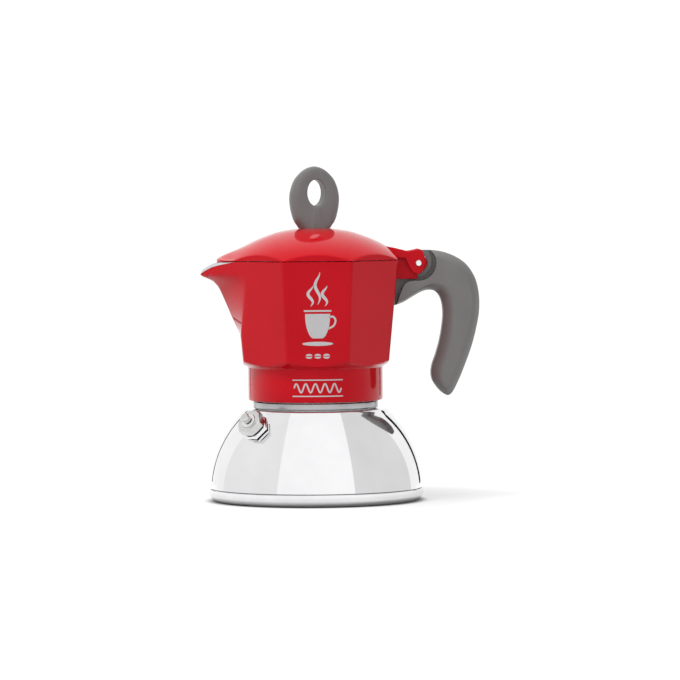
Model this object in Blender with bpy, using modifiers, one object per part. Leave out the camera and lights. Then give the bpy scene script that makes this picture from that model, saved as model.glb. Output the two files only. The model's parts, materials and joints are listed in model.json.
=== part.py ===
"""Stove-top moka pot for induction hobs, as an assembly of separate named pieces.

Frame: metres, +Z up, the pot's axis on Z, the face that it rests on at z = 0.
The spout points to -X, the handle to +X, and the safety valve to the front left.
"""
import math

import bmesh
import bpy
from mathutils import Matrix, Vector

MM = 0.001
GAP = 0.3 * MM                      # running clearance between neighbouring pieces
SIDES = 48                          # steps round the large turned pieces
INNER_SIDES = 32                    # steps round the turned pieces inside
SMALL_SIDES = 16                    # steps round the small turned pieces

# Boiler: steel base pan and dome, with an aluminium cup inside
BASE_RADIUS = 52.4 * MM
NECK_RADIUS = 28.6 * MM
BASE_CORNER = 4.5 * MM              # rounding under the base
SEAM_Z = 6.0 * MM                   # top edge of the base pan
PAN_WALL = 1.0 * MM
SPREADER_THICK = 3.4 * MM
SPREADER_RADIUS = 46.0 * MM
DOME_ARC = 57.5 * MM                # radius of the dome's meridian
DOME_WALL = 0.9 * MM
SHOULDER_RADIUS = NECK_RADIUS + 5.6 * MM
SHOULDER_Z = 44.8 * MM              # flat top of the dome
SHOULDER_ROUND = 1.4 * MM
CUP_WALL = 2.0 * MM
CUP_CORNER = 3.0 * MM

# Neck and its thread
NECK_WALL = 2.2 * MM
NECK_EDGE = 0.4 * MM                # chamfer of the neck's lip
NECK_BORE = NECK_RADIUS - NECK_WALL
NECK_TOP_Z = SHOULDER_Z + 14.4 * MM
BEAD_RADIUS = NECK_RADIUS + 1.8 * MM
BEAD_HEIGHT = 3.4 * MM
BEAD_EDGE = 0.6 * MM                # chamfer of the bead
THREAD_PITCH = 3.6 * MM
THREAD_TURNS = 1.5
THREAD_DEPTH = 1.3 * MM
THREAD_ROOT = 1.5 * MM              # ridge width at its root
THREAD_CREST = 0.7 * MM             # ridge width at its crest
THREAD_START_Z = SHOULDER_Z + 6.4 * MM
THREAD_SINK = 0.5 * MM              # depth of the ridge's foot inside the wall

# Funnel, gasket and filter plate
FUNNEL_RADIUS = NECK_BORE - 3 * GAP
FUNNEL_WALL = 0.8 * MM
FUNNEL_DEPTH = 17.0 * MM
FLANGE_RADIUS = NECK_RADIUS - 0.4 * MM
FLANGE_THICK = 0.8 * MM
CONE_HEIGHT = 8.0 * MM
STEM_RADIUS = 3.9 * MM
STEM_WALL = 0.7 * MM
STEM_SOCKET = 4.0 * MM              # length of the stem inside the cone's sleeve
STEM_LIFT = 3.0 * MM                # gap between the stem's end and the cup's floor
STRAINER_THICK = 0.6 * MM
STRAINER_HOLE = 0.9 * MM
GASKET_THICK = 2.7 * MM
GASKET_BORE = FLANGE_RADIUS - 6.4 * MM
PLATE_THICK = 0.7 * MM
PLATE_RADIUS = FLANGE_RADIUS - 3.2 * MM
PLATE_HOLE = 0.9 * MM
HOLE_SIDES = 6

# Collector: round collar below, octagon above, V-shaped spout
COLLAR_RADIUS = NECK_RADIUS + 4.2 * MM
COLLAR_BOTTOM_Z = SHOULDER_Z + 4.1 * MM
COLLAR_TOP_Z = NECK_TOP_Z + 5.7 * MM
OCTAGON_BOTTOM_Z = COLLAR_TOP_Z + 1.6 * MM
RIM_Z = 117.1 * MM
APOTHEM_BOTTOM = COLLAR_RADIUS + 2.4 * MM
APOTHEM_RIM = APOTHEM_BOTTOM + 4.8 * MM
COLLECTOR_WALL = 2.2 * MM
COLLECTOR_FLOOR = 2.6 * MM
EDGE_ROUND = 2.2 * MM               # rounding of the octagon's corners
SPOUT_START_Z = RIM_Z - 36.1 * MM
SPOUT_ROOT_SHIFT = 7.0 * MM         # how far the spout's sides reach past the corner at the rim
SPOUT_TIP_Z = RIM_Z - 7.4 * MM
LIP_HEIGHT = 1.4 * MM
COLUMN_BORE = 2.5 * MM
COLUMN_SPIGOT = 3.7 * MM
COLUMN_FOOT = 6.4 * MM
COLUMN_TIP = 4.6 * MM
COLUMN_TOP_Z = RIM_Z - 13.1 * MM
COLUMN_PORT = 1.5 * MM

# Hinge between the collector and the lid
PIN_X = APOTHEM_RIM + 10.4 * MM
PIN_Z = RIM_Z - 1.8 * MM
PIN_RADIUS = 1.2 * MM
PIN_HEAD_RADIUS = 1.9 * MM
PIN_HEAD_THICK = 0.6 * MM
HUB_RADIUS = 4.3 * MM
HUB_HALF = 4.5 * MM                 # half the hub's width along the pin
ARM_BOTTOM_Z = PIN_Z - 7.7 * MM
ARM_TOP_Z = PIN_Z + 1.3 * MM
TENON_HALF = 2.5 * MM
TENON_END_X = PIN_X + 11.6 * MM
TENON_BOTTOM_Z = PIN_Z - 4.9 * MM
TENON_TOP_Z = PIN_Z + 2.7 * MM
EAR_THICK = 2.2 * MM

# Lid, with its knob
LID_WALL = 1.2 * MM
LID_CROWN_Z = RIM_Z + 15.4 * MM
LID_BAND = 0.6 * MM                 # least height of the lid's upright edge
NOSE_X = APOTHEM_RIM + 7.8 * MM                # reach of the lid's nose over the spout
KNOB_TURN = math.radians(19.0)
KNOB_THICK = 7.6 * MM
EYE_HALF_WIDTH = 4.7 * MM
EYE_HALF_HEIGHT = 6.9 * MM
EYE_RISE = 17.9 * MM              # the eye's middle above the knob's foot
KNOB_SCREW_RADIUS = 1.5 * MM
KNOB_SCREW_DEPTH = 6.5 * MM
KNOB_HEAD_RADIUS = 3.4 * MM
KNOB_HEAD_THICK = 2.0 * MM
KNOB_WASHER_RADIUS = 5.2 * MM
KNOB_WASHER_THICK = 0.8 * MM

# Handle
HANDLE_HALF = 8.5 * MM
HANDLE_ROUND = 2.2 * MM
HANDLE_SEAT = 8.6 * MM              # radius of the hollow that the hinge turns in
HANDLE_SCREW_X = PIN_X + 7.2 * MM
HANDLE_SCREW_RADIUS = 1.2 * MM
HANDLE_SCREW_HEAD = 2.5 * MM
HANDLE_SCREW_HEAD_THICK = 1.8 * MM
HANDLE_SCREW_HEAD_Z = PIN_Z - 11.3 * MM
HANDLE_SCREW_END_Z = PIN_Z + 0.3 * MM

# Safety valve, measured outwards along its own axis from the dome's skin
VALVE_Z = 36.6 * MM
VALVE_TURN = math.radians(225.0)
VALVE_FLATS = 12.0 * MM             # across the flats of both hexagons
HEX_CHAMFER = 0.5 * MM
BOSS_THICK = 1.8 * MM
VALVE_GASKET_THICK = 0.5 * MM
VALVE_GASKET_RADIUS = 5.7 * MM
VALVE_HEX_THICK = 3.8 * MM
SHANK_RADIUS = 4.2 * MM
SHANK_INNER_END = -6.4 * MM
VALVE_BORE = 2.6 * MM
VALVE_END_WALL = 1.0 * MM
VALVE_INLET = 1.4 * MM
BUSH_RADIUS = 3.5 * MM
BUSH_DEPTH = 2.2 * MM
BUSH_PROUD = 0.5 * MM
STEM_PIN_RADIUS = 0.8 * MM
PISTON_HEAD_RADIUS = 2.2 * MM
PISTON_HEAD_THICK = 0.8 * MM
PISTON_CAP_RADIUS = 2.15 * MM
PISTON_CAP_LENGTH = 3.4 * MM
VALVE_SEAL_THICK = 0.8 * MM
SPRING_WIRE = 0.3 * MM
SPRING_TURNS = 5
SPRING_STEPS = 10

# Colours: (red, green, blue), roughness, metallic
RED_LACQUER = ((0.48, 0.012, 0.022), 0.22, 0.35)
BARE_ALUMINIUM = ((0.72, 0.72, 0.73), 0.35, 1.0)
POLISHED_STEEL = ((0.82, 0.82, 0.83), 0.06, 1.0)
SATIN_STEEL = ((0.60, 0.60, 0.61), 0.38, 1.0)
PLATED_BRASS = ((0.70, 0.69, 0.67), 0.18, 1.0)
GREY_NYLON = ((0.17, 0.165, 0.16), 0.42, 0.0)
BLACK_RUBBER = ((0.02, 0.02, 0.02), 0.70, 0.0)
WHITE_SILICONE = ((0.80, 0.79, 0.76), 0.55, 0.0)
SPRING_STEEL = ((0.45, 0.45, 0.46), 0.30, 1.0)

# Heights and radii that follow from the dimensions above
SPREADER_Z = PAN_WALL + GAP
CUP_BOTTOM_Z = SPREADER_Z + SPREADER_THICK + GAP
CUP_FLOOR_Z = CUP_BOTTOM_Z + CUP_WALL
DOME_FOOT_Z = SEAM_Z + GAP
FLANGE_Z = NECK_TOP_Z + GAP
FLANGE_TOP_Z = FLANGE_Z + FLANGE_THICK
GASKET_Z = FLANGE_TOP_Z + GAP
PLATE_Z = GASKET_Z + GASKET_THICK + GAP
CEILING_Z = PLATE_Z + PLATE_THICK + GAP
FLOOR_Z = CEILING_Z + COLLECTOR_FLOOR
LID_Z = RIM_Z + GAP
KNOB_Z = LID_CROWN_Z + GAP
HUB = Vector((PIN_X, 0.0, PIN_Z))
PIN_HOLE = PIN_RADIUS + GAP
EAR_INNER = HUB_HALF + GAP
EAR_OUTER = EAR_INNER + EAR_THICK
THREAD_ROOT_RADIUS = NECK_RADIUS + THREAD_DEPTH + 2 * GAP
HALF_STEP = math.pi / 8             # from the middle of an octagon's side to its corner

model = bpy.data.collections.new("moka_pot")
cutter_set = bpy.data.collections.new("cutters")
materials = {}


# Objects, materials and modifiers

def clear_scene():
    for old in list(bpy.data.objects):
        bpy.data.objects.remove(old, do_unlink=True)
    for group in (model, cutter_set):
        bpy.context.scene.collection.children.link(group)


def finish_material(name, finish):
    if name not in materials:
        colour, roughness, metallic = finish
        made = bpy.data.materials.new(name)
        made.use_nodes = True
        shader = made.node_tree.nodes["Principled BSDF"]
        shader.inputs["Base Color"].default_value = (*colour, 1.0)
        shader.inputs["Roughness"].default_value = roughness
        shader.inputs["Metallic"].default_value = metallic
        materials[name] = made
    return materials[name]


def add_object(name, shape, finish=None):
    """Put a bmesh in the scene; a piece has a finish, and a cutter has none."""
    mesh = bpy.data.meshes.new(name)
    shape.to_mesh(mesh)
    shape.free()
    made = bpy.data.objects.new(name, mesh)
    if finish is None:
        cutter_set.objects.link(made)
        made.hide_render = True
        made.display_type = "WIRE"
    else:
        model.objects.link(made)
        mesh.materials.append(finish_material(name, finish))
        mesh.shade_smooth()
        mesh.set_sharp_from_angle(angle=math.radians(35.0))
    return made


def combine(target, other, operation):
    boolean = target.modifiers.new(operation.lower(), "BOOLEAN")
    boolean.operation = operation
    boolean.object = other
    boolean.solver = "EXACT"


def cut(target, *others):
    for other in others:
        combine(target, other, "DIFFERENCE")


def join(target, *others):
    for other in others:
        combine(target, other, "UNION")


def turned(name, profile, finish=None, sides=SIDES, closed=False, turns=1.0, rise=0.0):
    """Turn a profile of (radius, z) points about Z; it runs down its outer side."""
    shape = bmesh.new()
    points = [shape.verts.new((radius, 0.0, z)) for radius, z in profile]
    for first, second in zip(points, points[1:]):
        shape.edges.new((first, second))
    if closed:
        shape.edges.new((points[-1], points[0]))
    made = add_object(name, shape, finish)
    screw = made.modifiers.new("turn", "SCREW")
    screw.angle = turns * math.tau
    screw.screw_offset = rise
    screw.steps = sides
    screw.render_steps = sides
    screw.use_merge_vertices = turns == 1.0
    screw.merge_threshold = 0.00001
    screw.use_smooth_shade = True
    return made


def evaluated_mesh(source):
    """The mesh of an object with its modifiers applied, as a new bmesh."""
    depsgraph = bpy.context.evaluated_depsgraph_get()
    mesh = bpy.data.meshes.new_from_object(source.evaluated_get(depsgraph))
    shape = bmesh.new()
    shape.from_mesh(mesh)
    bpy.data.meshes.remove(mesh)
    bmesh.ops.remove_doubles(shape, verts=shape.verts, dist=0.000001)
    return shape


# Outlines and simple shapes

def arc(centre, radius, start, end, steps):
    """Points on an arc in the (radius, z) plane, with its angles in degrees."""
    points = []
    for step in range(steps + 1):
        angle = math.radians(start + (end - start) * step / steps)
        points.append((centre[0] + radius * math.cos(angle), centre[1] + radius * math.sin(angle)))
    return points


def smooth_line(anchors, steps):
    """A smooth open curve through its anchor points (Catmull-Rom)."""
    ends = [anchors[0]] + list(anchors) + [anchors[-1]]
    points = []
    for before, start, end, after in zip(ends, ends[1:], ends[2:], ends[3:]):
        for step in range(steps):
            t = step / steps
            point = []
            for p0, p1, p2, p3 in zip(before, start, end, after):
                point.append(0.5 * (2 * p1 + (p2 - p0) * t + (2 * p0 - 5 * p1 + 4 * p2 - p3) * t ** 2
                                    + (3 * p1 - p0 - 3 * p2 + p3) * t ** 3))
            points.append(tuple(point))
    points.append(tuple(anchors[-1]))
    return points


def value_on(line, position):
    """The second value of a line of (first, second) points at a first value."""
    for (x0, y0), (x1, y1) in zip(line, line[1:]):
        if x0 <= position <= x1:
            return y0 + (y1 - y0) * (position - x0) / (x1 - x0)
    return line[0][1] if position < line[0][0] else line[-1][1]


def loft(name, rings, finish=None, closed=False):
    """Bridge rings of equally many points; the ends are capped unless it closes on itself."""
    shape = bmesh.new()
    made_rings = [[shape.verts.new(point) for point in ring] for ring in rings]
    pairs = list(zip(made_rings, made_rings[1:]))
    if closed:
        pairs.append((made_rings[-1], made_rings[0]))
    for lower, upper in pairs:
        for index, corner in enumerate(lower):
            following = (index + 1) % len(lower)
            shape.faces.new((corner, lower[following], upper[following], upper[index]))
    if not closed:
        caps = [shape.faces.new(list(reversed(made_rings[0]))), shape.faces.new(made_rings[-1])]
        shape.normal_update()
        bmesh.ops.triangulate(shape, faces=caps, ngon_method="EAR_CLIP")
    bmesh.ops.recalc_face_normals(shape, faces=shape.faces)
    return add_object(name, shape, finish)


def rod(name, radius, start, end, finish=None, sides=SMALL_SIDES):
    """A cylinder between two points, which may lie along any direction."""
    along = Vector(end) - Vector(start)
    shape = bmesh.new()
    place = Matrix.Translation((Vector(start) + Vector(end)) / 2)
    turn = along.to_track_quat("Z", "Y").to_matrix().to_4x4()
    bmesh.ops.create_cone(shape, cap_ends=True, segments=sides, radius1=radius, radius2=radius,
                          depth=along.length, matrix=place @ turn)
    return add_object(name, shape, finish)


def block(name, low, high, finish=None):
    low = Vector(low)
    high = Vector(high)
    shape = bmesh.new()
    size = Matrix.Diagonal((*(high - low), 1.0))
    bmesh.ops.create_cube(shape, size=1.0, matrix=Matrix.Translation((low + high) / 2) @ size)
    return add_object(name, shape, finish)


def slab(name, outline, half_width, finish=None):
    """Extrude an (x, z) outline to both sides of the plane y = 0."""
    near = [(x, -half_width, z) for x, z in outline]
    far = [(x, half_width, z) for x, z in outline]
    return loft(name, [near, far], finish)


def hole_pattern(name, hole_radius, ring_step, rings, low, high):
    """A cutter of upright pins: one in the middle and six more in each further ring."""
    shape = bmesh.new()
    places = [(0.0, 0.0)]
    for ring in range(1, rings + 1):
        for spot in range(6 * ring):
            angle = math.tau * spot / (6 * ring)
            places.append((ring * ring_step * math.cos(angle), ring * ring_step * math.sin(angle)))
    for x, y in places:
        bmesh.ops.create_cone(shape, cap_ends=True, segments=HOLE_SIDES, radius1=hole_radius,
                              radius2=hole_radius, depth=high - low,
                              matrix=Matrix.Translation((x, y, (low + high) / 2)))
    return add_object(name, shape)


def thread_ridge(name, wall_radius, crest_radius, z, finish=None):
    """A helical ridge of THREAD_TURNS turns that stands on a wall of the given radius."""
    inward = -1.0 if crest_radius < wall_radius else 1.0
    foot = wall_radius - inward * THREAD_SINK
    profile = [(crest_radius, z + THREAD_CREST / 2), (crest_radius, z - THREAD_CREST / 2),
               (foot, z - THREAD_ROOT / 2), (foot, z + THREAD_ROOT / 2)]
    helix = turned(name + "_helix", profile, closed=True, turns=THREAD_TURNS,
                   rise=THREAD_PITCH * THREAD_TURNS, sides=int(INNER_SIDES * THREAD_TURNS))
    shape = evaluated_mesh(helix)
    bpy.data.objects.remove(helix, do_unlink=True)
    bmesh.ops.holes_fill(shape, edges=[edge for edge in shape.edges if edge.is_boundary], sides=4)
    bmesh.ops.recalc_face_normals(shape, faces=shape.faces)
    return add_object(name, shape, finish)


# Boiler

def circle_centre(first, second, radius):
    """Centre of the circle through two (radius, z) points, on the side of the axis."""
    chord = Vector(second) - Vector(first)
    reach = math.sqrt(radius ** 2 - (chord.length / 2) ** 2)
    inward = Vector((-chord.y, chord.x)).normalized()
    return (Vector(first) + Vector(second)) / 2 + inward * reach


SHOULDER_START = (SHOULDER_RADIUS + SHOULDER_ROUND, SHOULDER_Z - 0.8 * SHOULDER_ROUND)
DOME_CENTRE = circle_centre((BASE_RADIUS, DOME_FOOT_Z), SHOULDER_START, DOME_ARC)


def dome_radius(z, inset=0.0):
    """Radius of the dome at a height, or of a skin that lies inset from it."""
    return DOME_CENTRE.x + math.sqrt((DOME_ARC - inset) ** 2 - (z - DOME_CENTRE.y) ** 2)


def dome_line(inset, low, steps=8):
    """The dome's meridian from its shoulder down to a height."""
    high = SHOULDER_START[1] - inset
    heights = [high + (low - high) * step / steps for step in range(steps + 1)]
    return [(dome_radius(z, inset), z) for z in heights]


def boiler_base_pan():
    centre = (BASE_RADIUS - BASE_CORNER, BASE_CORNER)
    profile = [(0.0, PAN_WALL)]
    profile += arc(centre, BASE_CORNER - PAN_WALL, -90, 0, 2)
    profile += [(BASE_RADIUS - PAN_WALL, SEAM_Z), (BASE_RADIUS, SEAM_Z)]
    profile += arc(centre, BASE_CORNER, 0, -90, 4)
    profile += [(0.0, 0.0)]
    return turned("boiler_base_pan", profile, SATIN_STEEL)


def heat_spreader_disc():
    profile = [(0.0, SPREADER_Z + SPREADER_THICK), (SPREADER_RADIUS, SPREADER_Z + SPREADER_THICK),
               (SPREADER_RADIUS, SPREADER_Z), (0.0, SPREADER_Z)]
    return turned("heat_spreader_disc", profile, BARE_ALUMINIUM, sides=INNER_SIDES)


def boiler_dome_shell():
    hole = NECK_RADIUS + GAP
    knee = (SHOULDER_RADIUS + 0.75 * SHOULDER_ROUND, SHOULDER_Z - 0.2 * SHOULDER_ROUND)
    profile = [(hole, SHOULDER_Z), (SHOULDER_RADIUS, SHOULDER_Z), knee]
    profile += dome_line(0.0, DOME_FOOT_Z)
    profile += reversed(dome_line(DOME_WALL, DOME_FOOT_Z, 6))
    profile += [(SHOULDER_RADIUS, SHOULDER_Z - DOME_WALL), (hole, SHOULDER_Z - DOME_WALL)]
    dome = turned("boiler_dome_shell", profile, POLISHED_STEEL, closed=True)
    cut(dome, valve_hole("dome_valve_hole"))
    return dome


def boiler_inner_cup():
    skin = DOME_WALL + GAP
    corner_z = CUP_BOTTOM_Z + CUP_CORNER
    centre = (dome_radius(corner_z, skin) - CUP_CORNER, corner_z)
    top = SHOULDER_Z - skin
    profile = [(0.0, CUP_FLOOR_Z)]
    profile += arc(centre, CUP_CORNER - CUP_WALL, -90, 0, 1)
    profile += reversed(dome_line(skin + CUP_WALL, corner_z + CUP_WALL, 5))
    profile += [(SHOULDER_RADIUS - CUP_WALL / 2, top - CUP_WALL), (NECK_BORE, top - CUP_WALL),
                (NECK_BORE, top), (SHOULDER_RADIUS, top)]
    profile += dome_line(skin, corner_z + CUP_WALL, 5)
    profile += arc(centre, CUP_CORNER, 0, -90, 3)
    profile += [(0.0, CUP_BOTTOM_Z)]
    cup = turned("boiler_inner_cup", profile, BARE_ALUMINIUM, sides=INNER_SIDES)
    cut(cup, valve_hole("cup_valve_hole"))
    return cup


def boiler_neck():
    """The threaded neck stands on the cup's shoulder, and its bead covers the dome's hole."""
    foot_z = SHOULDER_Z - DOME_WALL
    bead_z = SHOULDER_Z + GAP
    bead_top = bead_z + BEAD_HEIGHT
    profile = [(NECK_BORE, NECK_TOP_Z), (NECK_RADIUS - NECK_EDGE, NECK_TOP_Z),
               (NECK_RADIUS, NECK_TOP_Z - NECK_EDGE), (NECK_RADIUS, bead_top),
               (BEAD_RADIUS - BEAD_EDGE, bead_top), (BEAD_RADIUS, bead_top - BEAD_EDGE),
               (BEAD_RADIUS, bead_z + BEAD_EDGE), (BEAD_RADIUS - BEAD_EDGE, bead_z),
               (NECK_RADIUS, bead_z), (NECK_RADIUS, foot_z), (NECK_BORE, foot_z)]
    neck = turned("boiler_neck", profile, BARE_ALUMINIUM, sides=INNER_SIDES, closed=True)
    crest = NECK_RADIUS + THREAD_DEPTH
    join(neck, thread_ridge("neck_thread", NECK_RADIUS, crest, THREAD_START_Z))
    return neck


# Safety valve: every piece is made along Z and turned to the dome's normal

def valve_frame():
    radius = dome_radius(VALVE_Z)
    spot = Vector((radius * math.cos(VALVE_TURN), radius * math.sin(VALVE_TURN), VALVE_Z))
    tilt = math.atan2(VALVE_Z - DOME_CENTRE.y, radius - DOME_CENTRE.x)
    turn = Matrix.Rotation(VALVE_TURN, 4, "Z") @ Matrix.Rotation(math.pi / 2 - tilt, 4, "Y")
    return Matrix.Translation(spot) @ turn


VALVE_FRAME = valve_frame()
BOSS_TOP = GAP + BOSS_THICK
VALVE_GASKET_FOOT = BOSS_TOP + GAP
VALVE_HEX_FOOT = VALVE_GASKET_FOOT + VALVE_GASKET_THICK + GAP
VALVE_FACE = VALVE_HEX_FOOT + VALVE_HEX_THICK
BUSH_FOOT = VALVE_FACE - BUSH_DEPTH + GAP
VALVE_SEAT = SHANK_INNER_END + VALVE_END_WALL
PISTON_FOOT = VALVE_SEAT + GAP + VALVE_SEAL_THICK + GAP
CAP_FOOT = VALVE_FACE + BUSH_PROUD + GAP


def on_valve(made):
    made.matrix_world = VALVE_FRAME
    return made


def valve_rod(name, radius, low, high, finish=None):
    return on_valve(rod(name, radius, (0, 0, low), (0, 0, high), finish))


def valve_hole(name):
    reach = BOSS_THICK + SHANK_RADIUS
    return valve_rod(name, SHANK_RADIUS + GAP, SHANK_INNER_END - reach, reach)


def hexagon(name, low, high, finish):
    """A hexagon along the valve's axis, with its outer corners chamfered."""
    flat = VALVE_FLATS / 2
    corner = flat / math.cos(math.pi / 6)
    rings = []
    for reach, z in ((corner, low), (corner, high - HEX_CHAMFER), (flat, high)):
        ring = []
        for step in range(12):
            radius = flat if step % 2 else reach
            angle = math.pi / 6 * step
            ring.append((radius * math.cos(angle), radius * math.sin(angle), z))
        rings.append(ring)
    return on_valve(loft(name, rings, finish))


def valve_boss():
    boss = hexagon("valve_boss", GAP, BOSS_TOP, POLISHED_STEEL)
    cut(boss, valve_rod("boss_hole", SHANK_RADIUS + GAP, -GAP, BOSS_TOP + GAP))
    return boss


def valve_gasket():
    top = VALVE_GASKET_FOOT + VALVE_GASKET_THICK
    inner = SHANK_RADIUS + GAP
    profile = [(inner, top), (VALVE_GASKET_RADIUS, top), (VALVE_GASKET_RADIUS, VALVE_GASKET_FOOT),
               (inner, VALVE_GASKET_FOOT)]
    return on_valve(turned("valve_gasket", profile, BLACK_RUBBER, sides=SMALL_SIDES, closed=True))


def valve_body():
    body = hexagon("valve_body", VALVE_HEX_FOOT, VALVE_FACE, PLATED_BRASS)
    join(body, valve_rod("valve_shank", SHANK_RADIUS, SHANK_INNER_END, VALVE_HEX_FOOT + MM))
    cut(body, valve_rod("valve_bore", VALVE_BORE, VALVE_SEAT, VALVE_FACE + GAP),
        valve_rod("bush_seat", BUSH_RADIUS + GAP, VALVE_FACE - BUSH_DEPTH, VALVE_FACE + GAP),
        valve_rod("valve_inlet", VALVE_INLET, SHANK_INNER_END - GAP, VALVE_SEAT + GAP))
    return body


def valve_bush():
    top = VALVE_FACE + BUSH_PROUD
    inner = STEM_PIN_RADIUS + GAP
    profile = [(inner, top), (BUSH_RADIUS - GAP, top), (BUSH_RADIUS, top - GAP),
               (BUSH_RADIUS, BUSH_FOOT), (inner, BUSH_FOOT)]
    return on_valve(turned("valve_bush", profile, SATIN_STEEL, sides=SMALL_SIDES, closed=True))


def valve_piston():
    end = CAP_FOOT + PISTON_CAP_LENGTH
    round_off = 0.5 * MM
    profile = [(0.0, end), (PISTON_CAP_RADIUS - round_off, end), (PISTON_CAP_RADIUS, end - round_off),
               (PISTON_CAP_RADIUS, CAP_FOOT), (STEM_PIN_RADIUS, CAP_FOOT),
               (STEM_PIN_RADIUS, PISTON_FOOT + PISTON_HEAD_THICK),
               (PISTON_HEAD_RADIUS, PISTON_FOOT + PISTON_HEAD_THICK),
               (PISTON_HEAD_RADIUS, PISTON_FOOT), (0.0, PISTON_FOOT)]
    return on_valve(turned("valve_piston", profile, PLATED_BRASS, sides=SMALL_SIDES))


def valve_seal():
    low = VALVE_SEAT + GAP
    return valve_rod("valve_seal", PISTON_HEAD_RADIUS, low, low + VALVE_SEAL_THICK, BLACK_RUBBER)


def valve_spring():
    low = PISTON_FOOT + PISTON_HEAD_THICK + GAP + SPRING_WIRE
    high = BUSH_FOOT - GAP - SPRING_WIRE
    radius = (STEM_PIN_RADIUS + VALVE_BORE) / 2
    line = bpy.data.curves.new("spring_line", "CURVE")
    line.dimensions = "3D"
    line.bevel_depth = SPRING_WIRE
    line.bevel_resolution = 2
    line.use_fill_caps = True
    steps = SPRING_TURNS * SPRING_STEPS
    coil = line.splines.new("POLY")
    coil.points.add(steps)
    for step, point in enumerate(coil.points):
        angle = math.tau * step / SPRING_STEPS
        z = low + (high - low) * step / steps
        point.co = (radius * math.cos(angle), radius * math.sin(angle), z, 1.0)
    wire = bpy.data.objects.new("spring_line", line)
    cutter_set.objects.link(wire)
    shape = evaluated_mesh(wire)
    bpy.data.objects.remove(wire, do_unlink=True)
    return on_valve(add_object("valve_spring", shape, SPRING_STEEL))


# Funnel, gasket and filter plate

def funnel_cup():
    inner = FUNNEL_RADIUS - FUNNEL_WALL
    ledge_z = FLANGE_TOP_Z - FUNNEL_DEPTH
    low_z = ledge_z - FUNNEL_WALL
    sleeve_z = low_z - CONE_HEIGHT
    sleeve = STEM_RADIUS + GAP
    ledge = 2.2 * MM
    profile = [(inner, FLANGE_TOP_Z), (FLANGE_RADIUS, FLANGE_TOP_Z), (FLANGE_RADIUS, FLANGE_Z),
               (FUNNEL_RADIUS, FLANGE_Z), (FUNNEL_RADIUS, low_z), (FUNNEL_RADIUS - ledge, low_z),
               (sleeve + FUNNEL_WALL, sleeve_z), (sleeve + FUNNEL_WALL, sleeve_z - STEM_SOCKET),
               (sleeve, sleeve_z - STEM_SOCKET), (sleeve, sleeve_z + FUNNEL_WALL),
               (STEM_RADIUS - STEM_WALL, sleeve_z + FUNNEL_WALL), (inner - ledge, ledge_z),
               (inner, ledge_z)]
    return turned("funnel_cup", profile, BARE_ALUMINIUM, sides=INNER_SIDES, closed=True)


def funnel_stem():
    top = FLANGE_TOP_Z - FUNNEL_DEPTH - CONE_HEIGHT - GAP
    low = CUP_FLOOR_Z + STEM_LIFT
    inner = STEM_RADIUS - STEM_WALL
    profile = [(inner, top), (STEM_RADIUS, top), (STEM_RADIUS, low), (inner, low)]
    return turned("funnel_stem", profile, BARE_ALUMINIUM, sides=SMALL_SIDES, closed=True)


def perforated_disc(name, radius, low, thick, hole, rings, finish):
    profile = [(0.0, low + thick), (radius, low + thick), (radius, low), (0.0, low)]
    disc = turned(name, profile, finish, sides=INNER_SIDES)
    ring_step = radius / (rings + 0.7)
    cut(disc, hole_pattern(name + "_holes", hole, ring_step, rings, low - MM, low + thick + MM))
    return disc


def gasket_ring():
    edge = 0.4 * MM
    outer = FLANGE_RADIUS
    top = GASKET_Z + GASKET_THICK
    profile = [(GASKET_BORE, top), (outer - edge, top), (outer, top - edge), (outer, GASKET_Z + edge),
               (outer - edge, GASKET_Z), (GASKET_BORE, GASKET_Z)]
    return turned("gasket_ring", profile, WHITE_SILICONE, sides=INNER_SIDES, closed=True)


# Collector

def apothem(z):
    """Distance of the octagon's sides from the axis at a height."""
    share = (z - OCTAGON_BOTTOM_Z) / (RIM_Z - OCTAGON_BOTTOM_Z)
    return APOTHEM_BOTTOM + (APOTHEM_RIM - APOTHEM_BOTTOM) * share


KEEL_LINE = [(-29.1, -0.1), (-19.3, 4.2), (-12.1, 7.8), (-8.8, 12.0), (-7.4, 16.2), (0.0, 16.4)]
LIP_LINE = [(0.5, 0.0), (6.0, -0.6), (10.5, -1.9), (14.0, -4.1), (16.3, -6.0)]
SPOUT_KEEL = [(SPOUT_START_Z, apothem(SPOUT_START_Z))]          # height, reach of the spout's keel
SPOUT_KEEL += [(RIM_Z + rise * MM, APOTHEM_RIM + reach * MM) for rise, reach in KEEL_LINE]
SPOUT_RIM = [(APOTHEM_RIM + reach * MM, RIM_Z + rise * MM) for reach, rise in LIP_LINE]
WALL_LEVELS = [0.0, 0.17, 0.325, 0.42, 0.52, 0.62, 0.70, 0.78, 0.84, 0.89, 0.935, 0.965, 1.0]


def octagon_radius(angle, side_distance, rounding=EDGE_ROUND):
    """Distance from the axis to a regular octagon with sides across X and Y."""
    from_side = (angle + HALF_STEP) % (2 * HALF_STEP) - HALF_STEP
    sharp = side_distance / math.cos(from_side)
    corner = side_distance / math.cos(HALF_STEP)
    return min(sharp, corner - rounding * (1 / math.cos(HALF_STEP) - 1))


def collector_radius(angle, z, inset=0.0):
    """Distance from the axis to the collector's wall, with its spout at -X."""
    side = apothem(z) - inset
    plain = octagon_radius(angle, side)
    if z <= SPOUT_START_Z:
        return plain
    from_spout = abs(math.remainder(angle - math.pi, math.tau))
    shift = SPOUT_ROOT_SHIFT * (z - SPOUT_START_Z) / (RIM_Z - SPOUT_START_Z)
    root_x = side - shift
    root_y = side * math.tan(HALF_STEP) + shift
    if from_spout >= math.atan2(root_y, root_x):
        return plain
    keel = max(value_on(SPOUT_KEEL, z) - 1.35 * inset, side)
    across = math.cos(from_spout) * root_y + math.sin(from_spout) * (keel - root_x)
    return keel * root_y / across


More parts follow.
